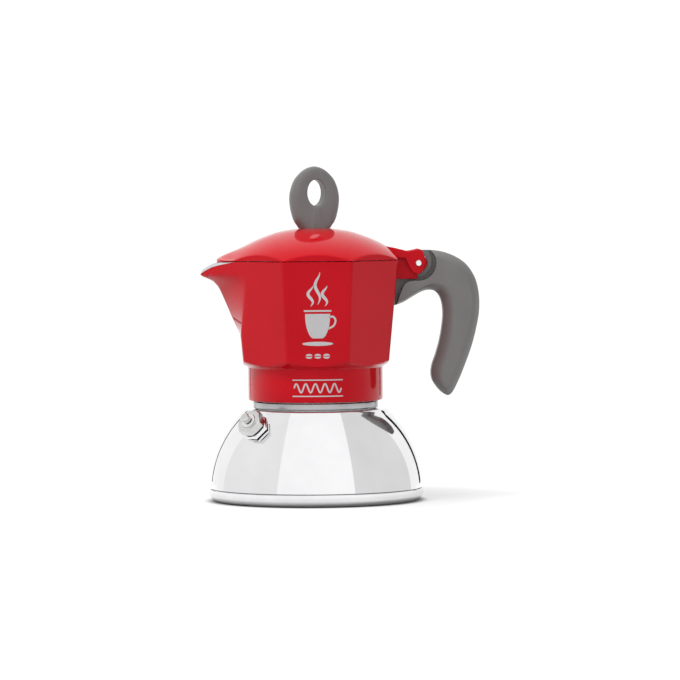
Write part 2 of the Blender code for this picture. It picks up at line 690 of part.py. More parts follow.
def rim_height(angle, inset=0.0):
    """Height of the rim, which dips towards the spout's tip."""
    z = RIM_Z
    for _ in range(12):
        reach = -collector_radius(angle, z, inset) * math.cos(angle)
        z = (z + value_on(SPOUT_RIM, reach)) / 2
    return z


def wall_ring(level, foot, inset=0.0):
    """One ring of the collector's wall, at a share of the way from its foot to its rim."""
    ring = []
    for step in range(SIDES):
        angle = math.tau * step / SIDES
        z = foot + (rim_height(angle, inset) - foot) * level
        radius = collector_radius(angle, z, inset)
        ring.append((radius * math.cos(angle), radius * math.sin(angle), z))
    return ring


def circle_ring(radius, z):
    steps = [math.tau * step / SIDES for step in range(SIDES)]
    return [(radius * math.cos(angle), radius * math.sin(angle), z) for angle in steps]


def collector_body():
    hole = COLUMN_SPIGOT + GAP
    chamber = FLANGE_RADIUS + GAP
    chamber_z = FLANGE_Z + GAP
    hollow = 1.2 * MM
    rings = [circle_ring(hole, FLOOR_Z)]
    rings += [wall_ring(level, FLOOR_Z, COLLECTOR_WALL) for level in WALL_LEVELS[::2]]
    rings += [wall_ring(level, OCTAGON_BOTTOM_Z) for level in reversed(WALL_LEVELS)]
    rings += [circle_ring(COLLAR_RADIUS, COLLAR_TOP_Z), circle_ring(COLLAR_RADIUS, COLLAR_BOTTOM_Z),
              circle_ring(THREAD_ROOT_RADIUS, COLLAR_BOTTOM_Z), circle_ring(THREAD_ROOT_RADIUS, chamber_z),
              circle_ring(chamber, chamber_z), circle_ring(chamber, CEILING_Z),
              circle_ring(GASKET_BORE + MM, CEILING_Z), circle_ring(GASKET_BORE, CEILING_Z + hollow / 2),
              circle_ring(hole, CEILING_Z + hollow)]
    body = loft("collector_body", rings, RED_LACQUER, closed=True)
    crest = THREAD_ROOT_RADIUS - THREAD_DEPTH
    thread = thread_ridge("collar_thread", THREAD_ROOT_RADIUS, crest, THREAD_START_Z + THREAD_PITCH / 2)
    root_x = apothem(ARM_BOTTOM_Z) - 0.4 * COLLECTOR_WALL
    arm = [(root_x, ARM_BOTTOM_Z), (PIN_X - 2 * GAP, ARM_BOTTOM_Z), (PIN_X - 2 * GAP, PIN_Z),
           (PIN_X - HUB_RADIUS, PIN_Z), (PIN_X - HUB_RADIUS - MM, ARM_TOP_Z), (root_x, ARM_TOP_Z)]
    join(body, thread, slab("bracket_arm", arm, HUB_HALF),
         rod("bracket_hub", HUB_RADIUS, (PIN_X, -HUB_HALF, PIN_Z), (PIN_X, HUB_HALF, PIN_Z)),
         block("bracket_tenon", (PIN_X + PIN_HOLE + MM, -TENON_HALF, TENON_BOTTOM_Z),
               (TENON_END_X, TENON_HALF, TENON_TOP_Z)))
    cut(body, pin_hole("hub_pin_hole"), handle_screw_hole("tenon_screw_hole"))
    return body


def riser_column():
    foot_z = FLOOR_Z + GAP
    spigot_z = CEILING_Z + 1.5 * MM
    top = COLUMN_TOP_Z
    roof = 3.5 * MM
    profile = [(0.0, top), (0.65 * COLUMN_TIP, top - 0.6 * MM), (COLUMN_TIP, top - 2.5 * MM),
               (COLUMN_FOOT - 0.7 * MM, foot_z + 5.0 * MM), (COLUMN_FOOT, foot_z + 2.5 * MM),
               (COLUMN_FOOT, foot_z), (COLUMN_SPIGOT, foot_z), (COLUMN_SPIGOT, spigot_z),
               (COLUMN_BORE, spigot_z), (COLUMN_BORE, top - roof), (0.0, top - roof + MM)]
    column = turned("riser_column", profile, BARE_ALUMINIUM, sides=SMALL_SIDES)
    port_z = top - roof - 2 * COLUMN_PORT
    cut(column, rod("port_x", COLUMN_PORT, (-COLUMN_FOOT, 0, port_z), (COLUMN_FOOT, 0, port_z)),
        rod("port_y", COLUMN_PORT, (0, -COLUMN_FOOT, port_z), (0, COLUMN_FOOT, port_z)))
    return column


# Lid, hinge and knob

DOME_SHARES = [(0.0, 15.4), (0.2, 15.4), (0.425, 14.0), (0.575, 12.1), (0.7, 10.2), (0.825, 7.9),
               (0.925, 4.8), (1.0, 2.1), (1.0825, 0.5)]         # share of the apothem, mm over the rim
RIDGE_SHARES = [(0.5, 13.1), (0.6425, 10.8), (0.9975, 4.6), (1.1125, 2.7), (1.195, 0.9)]
LID_DOME = [(APOTHEM_RIM * share, RIM_Z + rise * MM) for share, rise in DOME_SHARES]
LID_RIDGE = [(APOTHEM_RIM * share, RIM_Z + rise * MM) for share, rise in RIDGE_SHARES]
RIDGE_WIDTH = 9.0 * MM
EAR_ROOT = [(-11.2, 2.6), (-12.1, 4.6), (-14.2, 6.6), (-16.6, 8.7), (-11.0, 7.3)]    # from the pin, mm
EAR_TIP = [(-5.4, 5.7), (-0.1, 7.0), (1.9, 6.0), (3.1, 3.0), (3.3, 0.0), (2.4, -3.3), (0.0, -5.7),
           (-3.0, -4.7), (-4.8, -1.5), (-6.5, 2.4)]
WEB_END = [(-8.2, 6.5), (-8.2, 2.9)]
LID_RINGS = [1.0, 0.965, 0.92, 0.85, 0.76, 0.64, 0.5, 0.36, 0.2]


def pin_hole(name):
    reach = EAR_OUTER + MM
    return rod(name, PIN_HOLE, (PIN_X, -reach, PIN_Z), (PIN_X, reach, PIN_Z), sides=SMALL_SIDES)


def lid_radius(angle, inset=0.0):
    """Distance from the axis to the lid's edge: the octagon, with a blunt nose over the spout."""
    side = APOTHEM_RIM - inset
    from_spout = abs(math.remainder(angle - math.pi, math.tau))
    if from_spout > 2 * HALF_STEP:
        return octagon_radius(angle, side)
    flank = side / math.cos(2 * HALF_STEP - from_spout)
    nose = (NOSE_X - inset) / math.cos(from_spout)
    return (flank ** -24 + nose ** -24) ** (-1 / 24)


def lid_height(angle, radius):
    crown = value_on(LID_DOME, radius)
    if math.cos(angle) > 0 or radius < LID_RIDGE[0][0]:
        return crown
    ridge = value_on(LID_RIDGE, -radius * math.cos(angle))
    aside = radius * math.sin(angle) / RIDGE_WIDTH
    return crown + max(ridge - crown, 0.0) * math.exp(-aside ** 2)


def lid_foot(angle, inset):
    reach = -lid_radius(angle, inset) * math.cos(angle)
    return value_on(SPOUT_RIM, reach) + GAP


def lid_ring(share, inset, drop):
    """A ring of the lid's skin, at a share of the way from its middle to its edge."""
    ring = []
    for step in range(SIDES):
        angle = math.tau * step / SIDES
        radius = lid_radius(angle, inset) * share
        z = max(lid_height(angle, radius) - drop, lid_foot(angle, inset) + LID_BAND - drop / 3)
        ring.append((radius * math.cos(angle), radius * math.sin(angle), z))
    return ring


def lid_edge(inset):
    ring = []
    for step in range(SIDES):
        angle = math.tau * step / SIDES
        radius = lid_radius(angle, inset)
        ring.append((radius * math.cos(angle), radius * math.sin(angle), lid_foot(angle, inset)))
    return ring


def lid_shell():
    hole = KNOB_SCREW_RADIUS + GAP
    rings = [lid_edge(0.0)] + [lid_ring(share, 0.0, 0.0) for share in LID_RINGS]
    rings += [circle_ring(hole, LID_CROWN_Z), circle_ring(hole, LID_CROWN_Z - LID_WALL)]
    rings += [lid_ring(share, LID_WALL, LID_WALL) for share in reversed(LID_RINGS)]
    rings += [lid_edge(LID_WALL)]
    lid = loft("lid_shell", rings, RED_LACQUER, closed=True)
    ear = [(PIN_X + x * MM, PIN_Z + z * MM) for x, z in EAR_ROOT + EAR_TIP]
    web = [(PIN_X + x * MM, PIN_Z + z * MM) for x, z in EAR_ROOT + WEB_END]
    ear_middle = (EAR_INNER + EAR_OUTER) / 2
    for name, side in (("ear_front", -1.0), ("ear_back", 1.0)):
        plate = slab(name, ear, EAR_THICK / 2)
        plate.location.y = side * ear_middle
        join(lid, plate)
    join(lid, slab("ear_web", web, EAR_OUTER - GAP))
    cut(lid, pin_hole("ear_pin_hole"))
    place_origin(lid, HUB)
    return lid


def place_origin(made, spot):
    """Move an object's origin to a point, and leave its shape where it is."""
    made.data.transform(Matrix.Translation(-Vector(spot)))
    made.location = spot


def hinge_pin():
    half = EAR_OUTER + GAP + PIN_HEAD_THICK
    neck = EAR_OUTER + GAP
    profile = [(0.0, half), (PIN_HEAD_RADIUS, half), (PIN_HEAD_RADIUS, neck), (PIN_RADIUS, neck),
               (PIN_RADIUS, -neck), (PIN_HEAD_RADIUS, -neck), (PIN_HEAD_RADIUS, -half), (0.0, -half)]
    pin = turned("hinge_pin", profile, SATIN_STEEL, sides=SMALL_SIDES)
    pin.rotation_euler = (math.pi / 2, 0.0, 0.0)
    pin.location = HUB
    return pin


KNOB_WIDTHS = [(0.0, 8.1), (4.2, 10.8), (11.2, 12.5), (17.2, 12.4), (23.2, 10.5), (27.7, 7.2),
               (29.8, 4.3), (30.7, 1.4)]                        # mm above the foot, half width in mm
KNOB_DEPTHS = [(0.0, 1.2), (7.2, 1.02), (23.2, 1.0), (28.2, 0.84), (30.0, 0.58), (30.7, 0.2)]
KNOB_SIDES = 32
KNOB_FULLNESS = 0.85                # below 1 makes the rings fuller than an ellipse


def knob_ring(rise, half_width):
    """A ring of the knob; its depth is a share of the thickness."""
    half_depth = value_on(KNOB_DEPTHS, rise) * KNOB_THICK / 2
    ring = []
    for step in range(KNOB_SIDES):
        angle = math.tau * step / KNOB_SIDES
        x = half_width * math.copysign(abs(math.cos(angle)) ** KNOB_FULLNESS, math.cos(angle))
        y = half_depth * math.copysign(abs(math.sin(angle)) ** KNOB_FULLNESS, math.sin(angle))
        ring.append((x * MM, y, KNOB_Z + rise * MM))
    return ring


def lid_knob():
    rings = [knob_ring(rise, half_width) for rise, half_width in smooth_line(KNOB_WIDTHS, 3)]
    knob = loft("lid_knob", rings, GREY_NYLON)
    eye = rod("knob_eye", EYE_HALF_WIDTH, (0, -KNOB_THICK, 0), (0, KNOB_THICK, 0))
    eye.data.transform(Matrix.Diagonal((1.0, 1.0, EYE_HALF_HEIGHT / EYE_HALF_WIDTH, 1.0)))
    eye.location.z = KNOB_Z + EYE_RISE
    for made in (knob, eye):
        made.rotation_euler.z = KNOB_TURN
    hole_end = KNOB_Z + KNOB_SCREW_DEPTH + GAP
    hole = rod("knob_screw_hole", KNOB_SCREW_RADIUS + GAP, (0, 0, LID_CROWN_Z), (0, 0, hole_end))
    cut(knob, eye, hole)
    return knob


def knob_washer():
    top = LID_CROWN_Z - LID_WALL - GAP
    inner = KNOB_SCREW_RADIUS + GAP
    profile = [(inner, top), (KNOB_WASHER_RADIUS, top), (KNOB_WASHER_RADIUS, top - KNOB_WASHER_THICK),
               (inner, top - KNOB_WASHER_THICK)]
    return turned("knob_washer", profile, SATIN_STEEL, sides=SMALL_SIDES, closed=True)


def cap_screw(name, shank, head, head_thick, head_foot, end, finish):
    """A screw that points up, with its head below."""
    neck = head_foot + head_thick
    profile = [(0.0, end), (shank, end), (shank, neck), (head, neck), (head, head_foot), (0.0, head_foot)]
    return turned(name, profile, finish, sides=SMALL_SIDES)


def knob_screw():
    neck = LID_CROWN_Z - LID_WALL - 2 * GAP - KNOB_WASHER_THICK
    return cap_screw("knob_screw", KNOB_SCREW_RADIUS, KNOB_HEAD_RADIUS, KNOB_HEAD_THICK,
                     neck - KNOB_HEAD_THICK, KNOB_Z + KNOB_SCREW_DEPTH, SATIN_STEEL)


# Handle

HANDLE_BACK = [(1.8, 6.8), (7.8, 6.6), (13.4, 5.5), (19.1, 3.0), (23.9, -0.7), (27.7, -6.7),
               (29.5, -13.8), (29.8, -21.3), (28.9, -28.3), (26.2, -39.3), (22.0, -50.9),
               (19.0, -57.9), (16.6, -62.4), (15.1, -64.1)]     # from the pin, mm
HANDLE_PALM = [(13.2, -64.1), (10.7, -62.6), (8.2, -59.9), (6.3, -56.5), (5.8, -52.8), (6.5, -48.7),
               (8.2, -44.0), (10.2, -36.7), (11.5, -28.8), (11.8, -22.8), (10.8, -17.3),
               (8.6, -13.9), (5.6, -12.8), (2.2, -13.4), (-1.6, -15.3), (-7.2, -18.7)]


def handle_screw_hole(name):
    radius = HANDLE_SCREW_RADIUS + GAP
    return rod(name, radius, (HANDLE_SCREW_X, 0, HANDLE_SCREW_HEAD_Z),
               (HANDLE_SCREW_X, 0, HANDLE_SCREW_END_Z + GAP))


def handle_outline():
    outline = [(PIN_X + x * MM, PIN_Z + z * MM) for x, z in HANDLE_BACK + HANDLE_PALM]
    foot_top = ARM_BOTTOM_Z - GAP
    for z in (PIN_Z - 20.7 * MM, PIN_Z - 14.3 * MM, foot_top):
        outline.append((apothem(z) + GAP, z))
    return outline + [(PIN_X - 5.4 * MM, foot_top), (PIN_X - GAP, foot_top), (PIN_X + 0.6 * MM, PIN_Z)]


def rounded_slab(name, outline, half_width, rounding, finish, steps=3):
    """Extrude an (x, z) outline both ways from y = 0, with its edges rounded over."""
    corners = [Vector(point) for point in outline]
    sides = [(after - before).normalized() for before, after in zip(corners, corners[1:] + corners[:1])]
    mitres = []
    for before, after in zip(sides[-1:] + sides, sides):
        outward = Vector((-before.y - after.y, before.x + after.x))
        mitres.append(outward / (1 + before.dot(after)))
    rings = []
    for side in (-1.0, 1.0):
        turns = range(steps + 1)
        for turn in (turns if side < 0 else reversed(turns)):
            angle = math.pi / 2 * turn / steps
            inset = rounding * (1 - math.sin(angle))
            y = side * (half_width - rounding * (1 - math.cos(angle)))
            ring = []
            for corner, mitre in zip(corners, mitres):
                moved = corner - inset * mitre
                ring.append((moved.x, y, moved.y))
            rings.append(ring)
    return loft(name, rings, finish)


def handle_grip():
    grip = rounded_slab("handle_grip", handle_outline(), HANDLE_HALF, HANDLE_ROUND, GREY_NYLON)
    wide = HANDLE_HALF + MM
    for name, side in (("seat_front", -1.0), ("seat_back", 1.0)):
        cut(grip, rod(name, HANDLE_SEAT, (PIN_X, side * HUB_HALF, PIN_Z), (PIN_X, side * wide, PIN_Z),
                      sides=48))
    hub_room = rod("hub_room", HUB_RADIUS + GAP, (PIN_X, -wide, PIN_Z), (PIN_X, wide, PIN_Z), sides=32)
    tenon_room = block("tenon_room", (PIN_X, -TENON_HALF - GAP, TENON_BOTTOM_Z - GAP),
                       (TENON_END_X + GAP, TENON_HALF + GAP, TENON_TOP_Z + GAP))
    head_top = HANDLE_SCREW_HEAD_Z + HANDLE_SCREW_HEAD_THICK + GAP
    low_z = ARM_BOTTOM_Z - 12.0 * MM
    head_room = rod("screw_head_room", HANDLE_SCREW_HEAD + GAP, (HANDLE_SCREW_X, 0, low_z),
                    (HANDLE_SCREW_X, 0, head_top))
    cut(grip, hub_room, tenon_room, head_room, handle_screw_hole("grip_screw_hole"))
    return grip


def handle_screw():
    screw = cap_screw("handle_screw", HANDLE_SCREW_RADIUS, HANDLE_SCREW_HEAD, HANDLE_SCREW_HEAD_THICK,
                      HANDLE_SCREW_HEAD_Z, HANDLE_SCREW_END_Z, SATIN_STEEL)
    screw.location.x = HANDLE_SCREW_X
    return screw


def build():
    clear_scene()
    boiler_base_pan()
    heat_spreader_disc()
    boiler_dome_shell()
    boiler_inner_cup()
    boiler_neck()
    valve_boss()
    valve_gasket()
    valve_body()
    valve_bush()
    valve_piston()
    valve_seal()
    valve_spring()
    funnel_cup()
    funnel_stem()
    strainer_z = FLANGE_TOP_Z - FUNNEL_DEPTH + GAP
    perforated_disc("funnel_strainer", FUNNEL_RADIUS - FUNNEL_WALL - GAP, strainer_z, STRAINER_THICK,
                    STRAINER_HOLE, 2, BARE_ALUMINIUM)
    gasket_ring()
    perforated_disc("filter_plate", PLATE_RADIUS, PLATE_Z, PLATE_THICK, PLATE_HOLE, 3, BARE_ALUMINIUM)
    collector_body()
    riser_column()
    lid_shell()
    lid_knob()
    knob_washer()
    knob_screw()
    hinge_pin()
    handle_grip()
    handle_screw()


build()
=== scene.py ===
# %% [markdown]
# # A red stove-top moka pot for induction hobs
#
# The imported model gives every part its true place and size. This lesson gives those parts their looks.
# Turned parts are spun from a profile, as on a lathe. Cast parts start as a primitive whose rings of vertices
# are extruded and then placed by a rule. Every finish is a small node tree that reads Object coordinates.

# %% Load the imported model
import json
import math

import bmesh
import bpy
from mathutils import Matrix, Vector


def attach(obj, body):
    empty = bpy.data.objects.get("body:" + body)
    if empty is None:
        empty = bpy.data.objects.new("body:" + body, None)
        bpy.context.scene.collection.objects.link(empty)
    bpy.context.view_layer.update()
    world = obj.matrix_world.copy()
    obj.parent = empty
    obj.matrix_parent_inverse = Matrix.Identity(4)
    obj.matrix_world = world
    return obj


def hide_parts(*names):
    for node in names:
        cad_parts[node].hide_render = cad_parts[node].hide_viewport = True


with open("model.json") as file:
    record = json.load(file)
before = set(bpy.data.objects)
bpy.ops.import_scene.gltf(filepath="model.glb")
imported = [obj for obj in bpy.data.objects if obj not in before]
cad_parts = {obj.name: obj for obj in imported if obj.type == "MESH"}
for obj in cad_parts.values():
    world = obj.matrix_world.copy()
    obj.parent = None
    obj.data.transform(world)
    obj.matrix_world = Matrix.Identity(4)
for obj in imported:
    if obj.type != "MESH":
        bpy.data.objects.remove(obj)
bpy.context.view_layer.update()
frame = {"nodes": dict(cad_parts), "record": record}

# %% [markdown]
# Everything in the scene starts out selected after the import, and an operator acts on all that is selected.
# So the first helper clears the selection. The others enter and leave edit mode, apply a modifier and put a
# finished piece on its body.

# %% Helpers for selecting, editing and finishing
MM = 0.001


def deselect():
    if bpy.context.object and bpy.context.object.mode != "OBJECT":
        bpy.ops.object.mode_set(mode="OBJECT")
    bpy.ops.object.select_all(action="DESELECT")


def activate(piece):
    deselect()
    piece.select_set(True)
    bpy.context.view_layer.objects.active = piece


def edit(piece, select="SELECT"):
    activate(piece)
    bpy.ops.object.mode_set(mode="EDIT")
    bpy.ops.mesh.select_mode(type="VERT")
    bpy.ops.mesh.select_all(action=select)


def pick(piece, wanted):
    """Go to edit mode with just the wanted vertices and the edges between them selected."""
    edit(piece, "DESELECT")
    shape = bmesh.from_edit_mesh(piece.data)
    shape.verts.ensure_lookup_table()
    for vertex in shape.verts:
        vertex.select = wanted(vertex)
    shape.select_flush(True)
    bmesh.update_edit_mesh(piece.data)


def apply_modifier(piece, kind, **settings):
    modifier = piece.modifiers.new(kind.lower(), kind)
    for name, value in settings.items():
        setattr(modifier, name, value)
    activate(piece)
    bpy.ops.object.modifier_apply(modifier=modifier.name)


def close_up(piece, merge=0.000002):
    """Merge doubles and turn every face outwards."""
    edit(piece)
    bpy.ops.mesh.remove_doubles(threshold=merge)
    bpy.ops.mesh.normals_make_consistent(inside=False)
    bpy.ops.object.mode_set(mode="OBJECT")


def finish(piece, body, slot, material, *nodes, angle=35.0):
    """Shade a piece, give it its finish and put it on its body in place of the CAD nodes."""
    activate(piece)
    bpy.ops.object.transform_apply(location=True, rotation=True, scale=True)
    bpy.ops.object.shade_smooth_by_angle(angle=math.radians(angle))
    piece.data.materials.clear()
    piece.data.materials.append(material)
    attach(piece, body)
    if nodes:
        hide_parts(*nodes)
    print(piece.name, "has", len(piece.data.polygons), "faces and rides on", body)
    return piece

# %% [markdown]
# ## Two ways to make a shape
#
# Turned parts, such as the boiler, come off a lathe. Here one vertex is extruded into a profile, and the
# profile is spun about the pot's axis. Sharp corners of a profile are first softened with a small arc,
# because real edges are never knife sharp and the arc is what catches the light.
#
# Cast and moulded parts, such as the collector and the handle, are stacks of rings. A circle primitive is
# extruded once for each ring, and each vertex is then placed by the rule for that part. The rows stay clean,
# so the surface shades smoothly.

# %% Soften a profile and spin it
def soften(profile, radius, steps=3, closed=False):
    """Round the corners of an (r, z) line with small arcs."""
    points = [Vector(point) for point in profile]
    count = len(points)
    result = []
    for index, corner in enumerate(points):
        if not closed and index in (0, count - 1):
            result.append(tuple(corner))
            continue
        before = points[index - 1] - corner
        after = points[(index + 1) % count] - corner
        reach = min(radius, 0.45 * before.length, 0.45 * after.length)
        start = corner + before.normalized() * reach
        end = corner + after.normalized() * reach
        for step in range(steps + 1):
            t = step / steps
            spot = start * (1 - t) ** 2 + corner * 2 * t * (1 - t) + end * t ** 2
            result.append(tuple(spot))
    if closed:
        result.append(result[0])
    return result


def arc_points(centre, radius, start, end, steps):
    """Points on a circular arc in the (r, z) plane, from one angle to another in radians."""
    angles = [start + (end - start) * step / steps for step in range(steps + 1)]
    return [(centre[0] + radius * math.cos(a), centre[1] + radius * math.sin(a)) for a in angles]


def spin(name, profile, steps=128):
    """Extrude a vertex along an (r, z) profile and spin it about the Z axis."""
    deselect()
    bpy.ops.mesh.primitive_plane_add(size=MM)
    piece = bpy.context.object
    piece.name = name
    edit(piece)
    bpy.ops.mesh.merge(type="CENTER")
    bpy.ops.transform.translate(value=(profile[0][0], 0.0, profile[0][1]))
    for (r0, z0), (r1, z1) in zip(profile, profile[1:]):
        bpy.ops.mesh.extrude_vertices_move(TRANSFORM_OT_translate={"value": (r1 - r0, 0.0, z1 - z0)})
    bpy.ops.mesh.select_all(action="SELECT")
    bpy.ops.mesh.spin(steps=steps, angle=math.tau, center=(0, 0, 0), axis=(0, 0, 1))
    close_up(piece)
    return piece


# %% Extrude a stack of rings and place each vertex
RING_STEP = 0.001                               # spacing of the raw stack before its rings are placed


def cast(name, rings, ends="fill"):
    """Extrude a circle into a stack and move its vertices to the rings' points.

    ends is "fill" for a face at each end, or "join" to bridge the last ring to the first."""
    count = len(rings[0])
    deselect()
    bpy.ops.mesh.primitive_circle_add(vertices=count, radius=1.0)
    piece = bpy.context.object
    piece.name = name
    edit(piece)
    for _ in rings[1:]:
        bpy.ops.mesh.extrude_edges_move(TRANSFORM_OT_translate={"value": (0.0, 0.0, RING_STEP)})
    bpy.ops.object.mode_set(mode="OBJECT")
    mesh = piece.data
    ring_of = [round(vertex.co.z / RING_STEP) for vertex in mesh.vertices]
    first = math.atan2(mesh.vertices[0].co.y, mesh.vertices[0].co.x)
    for vertex, ring in zip(mesh.vertices, ring_of):
        turn = (math.atan2(vertex.co.y, vertex.co.x) - first) / math.tau * count
        vertex.co = rings[ring][round(turn) % count]
    last = len(rings) - 1
    for chosen in ([(0, last)] if ends == "join" else [(0,), (last,)]):
        pick(piece, lambda vertex: ring_of[vertex.index] in chosen)
        if ends == "join":
            bpy.ops.mesh.bridge_edge_loops()
        else:
            bpy.ops.mesh.edge_face_add()
        bpy.ops.object.mode_set(mode="OBJECT")
    close_up(piece)
    return piece


def value_on(line, position):
    """The second value of a line of (first, second) points at a first value."""
    for (x0, y0), (x1, y1) in zip(line, line[1:]):
        if x0 <= position <= x1:
            return y0 + (y1 - y0) * (position - x0) / (x1 - x0)
    return line[0][1] if position < line[0][0] else line[-1][1]


def smooth_line(anchors, steps):
    """A smooth open curve through its anchor points (Catmull-Rom)."""
    ends = [anchors[0]] + list(anchors) + [anchors[-1]]
    points = []
    for before, start, end, after in zip(ends, ends[1:], ends[2:], ends[3:]):
        for step in range(steps):
            t = step / steps
            point = []
            for p0, p1, p2, p3 in zip(before, start, end, after):
                point.append(0.5 * (2 * p1 + (p2 - p0) * t + (2 * p0 - 5 * p1 + 4 * p2 - p3) * t ** 2
                                    + (3 * p1 - p0 - 3 * p2 + p3) * t ** 3))
            points.append(tuple(point))
    points.append(tuple(anchors[-1]))
    return points


# %% [markdown]
# ## Finishes
#
# Each finish is a Principled shader whose colour, roughness and bump come from noise on Object coordinates,
# in metres, so a grain has its real size. A stretch along one axis turns the noise into the fine rings that
# polishing wheels leave on a turned part.

# %% Build a finish from noise
def new_finish(name, metallic=0.0, coat=0.0, coat_roughness=0.05, specular=0.5):
    material = bpy.data.materials.new(name)
    material.use_nodes = True
    shader = material.node_tree.nodes["Principled BSDF"]
    shader.inputs["Metallic"].default_value = metallic
    shader.inputs["Coat Weight"].default_value = coat
    shader.inputs["Coat Roughness"].default_value = coat_roughness
    shader.inputs["Specular IOR Level"].default_value = specular
    return material, shader


def grain(material, size, detail=3.0, stretch=(1.0, 1.0, 1.0)):
    """Noise whose features have the given size in metres; a stretch above 1 squeezes it along that axis."""
    nodes = material.node_tree.nodes
    links = material.node_tree.links
    place = nodes.new("ShaderNodeTexCoord")
    mapping = nodes.new("ShaderNodeMapping")
    mapping.inputs["Scale"].default_value = stretch
    noise = nodes.new("ShaderNodeTexNoise")
    noise.inputs["Scale"].default_value = 1.0 / size
    noise.inputs["Detail"].default_value = detail
    links.new(place.outputs["Object"], mapping.inputs["Vector"])
    links.new(mapping.outputs["Vector"], noise.inputs["Vector"])
    return noise.outputs["Fac"]


def shade_range(material, source, socket, low, high):
    """Drive a shader socket between two values, or two colours, by a grain."""
    nodes = material.node_tree.nodes
    links = material.node_tree.links
    if isinstance(low, tuple):
        ramp = nodes.new("ShaderNodeValToRGB")
        ramp.color_ramp.elements[0].position = 0.3
        ramp.color_ramp.elements[1].position = 0.7
        ramp.color_ramp.elements[0].color = (*low, 1.0)
        ramp.color_ramp.elements[1].color = (*high, 1.0)
        links.new(source, ramp.inputs["Fac"])
        links.new(ramp.outputs["Color"], socket)
        return
    span = nodes.new("ShaderNodeMapRange")
    span.inputs["From Min"].default_value = 0.3
    span.inputs["From Max"].default_value = 0.7
    span.inputs["To Min"].default_value = low
    span.inputs["To Max"].default_value = high
    links.new(source, span.inputs["Value"])
    links.new(span.outputs["Result"], socket)


def add_bump(material, shader, source, strength, depth, under=None):
    nodes = material.node_tree.nodes
    links = material.node_tree.links
    bump = nodes.new("ShaderNodeBump")
    bump.inputs["Strength"].default_value = strength
    bump.inputs["Distance"].default_value = depth
    links.new(source, bump.inputs["Height"])
    if under:
        links.new(under, bump.inputs["Normal"])
    links.new(bump.outputs["Normal"], shader.inputs["Normal"])
    return bump.outputs["Normal"]


# %% Red lacquer: smooth, glossy, with the faint orange peel of sprayed paint
def red_lacquer():
    material, shader = new_finish("red_lacquer", specular=0.40)
    shader.inputs["Specular Tint"].default_value = (1.0, 0.22, 0.26, 1.0)
    drift = grain(material, 0.03, detail=2.0)
    shade_range(material, drift, shader.inputs["Base Color"], (0.500, 0.0030, 0.0090),
                (0.545, 0.0040, 0.0110))
    shade_range(material, grain(material, 0.004), shader.inputs["Roughness"], 0.07, 0.11)
    peel = add_bump(material, shader, grain(material, 0.0012, detail=1.0), 0.05, 0.00004)
    add_bump(material, shader, grain(material, 0.0002, detail=2.0), 0.04, 0.00001, peel)
    return material


# %% Metals: mirror polish, satin, bare cast aluminium, nickel plate and drawn wire
def metal(name, dark, light, roughness, size, stretch, strength, depth):
    material, shader = new_finish(name, metallic=1.0)
    lines = grain(material, size, detail=4.0, stretch=stretch)
    shade_range(material, grain(material, 0.02), shader.inputs["Base Color"], dark, light)
    shade_range(material, lines, shader.inputs["Roughness"], *roughness)
    add_bump(material, shader, lines, strength, depth)
    return material


RINGS_ROUND_Z = (0.02, 0.02, 1.0)
polished_steel = metal("polished_steel", (0.80, 0.80, 0.81), (0.86, 0.86, 0.87), (0.03, 0.06),
                       0.0003, RINGS_ROUND_Z, 0.02, 0.00001)
satin_steel = metal("satin_steel", (0.74, 0.74, 0.75), (0.82, 0.82, 0.83), (0.10, 0.17),
                    0.0002, RINGS_ROUND_Z, 0.15, 0.00002)
bare_aluminium = metal("bare_aluminium", (0.66, 0.66, 0.67), (0.74, 0.74, 0.75), (0.28, 0.44),
                       0.0004, (1.0, 1.0, 1.0), 0.20, 0.00003)
plated_brass = metal("plated_brass", (0.60, 0.60, 0.59), (0.68, 0.68, 0.67), (0.15, 0.24),
                     0.0005, (1.0, 1.0, 1.0), 0.10, 0.00002)
spring_steel = metal("spring_steel", (0.42, 0.42, 0.43), (0.50, 0.50, 0.51), (0.22, 0.34),
                     0.0002, (1.0, 1.0, 1.0), 0.10, 0.00001)
turned_aluminium = metal("turned_aluminium", (0.36, 0.36, 0.37), (0.46, 0.46, 0.47), (0.20, 0.30),
                   0.0002, RINGS_ROUND_Z, 0.15, 0.00002)
red_paint = red_lacquer()


# %% Moulded and rubber finishes: a fine grain that breaks the highlight up
def moulded(name, dark, light, roughness, size, strength, depth, specular=0.5):
    material, shader = new_finish(name, specular=specular)
    shade_range(material, grain(material, 0.012), shader.inputs["Base Color"], dark, light)
    shade_range(material, grain(material, 0.002), shader.inputs["Roughness"], *roughness)
    add_bump(material, shader, grain(material, size, detail=2.0), strength, depth)
    return material


grey_nylon = moulded("grey_nylon", (0.130, 0.125, 0.122), (0.144, 0.139, 0.135), (0.34, 0.42),
                     0.0004, 0.10, 0.00003, specular=0.7)
black_rubber = moulded("black_rubber", (0.012, 0.012, 0.012), (0.022, 0.022, 0.022), (0.60, 0.75),
                       0.0003, 0.30, 0.00004)
white_silicone = moulded("white_silicone", (0.72, 0.71, 0.68), (0.80, 0.79, 0.76), (0.45, 0.58),
                         0.0005, 0.15, 0.00003)
silver_ink = moulded("silver_ink", (0.50, 0.49, 0.50), (0.56, 0.55, 0.56), (0.30, 0.40),
                     0.0003, 0.10, 0.00001)
FINISHES = {"red_lacquer": red_paint, "polished_steel": polished_steel, "satin_steel": satin_steel,
            "bare_aluminium": bare_aluminium, "plated_brass": plated_brass, "spring_steel": spring_steel,
            "grey_nylon": grey_nylon, "black_rubber": black_rubber, "white_silicone": white_silicone}
for part in frame["record"]["subparts"]:
    node = frame["nodes"][part["node"]]
    for index in range(len(node.material_slots)):
        node.material_slots[index].material = FINISHES[part["material_slot"]]
print("finishes made:", ", ".join(FINISHES))

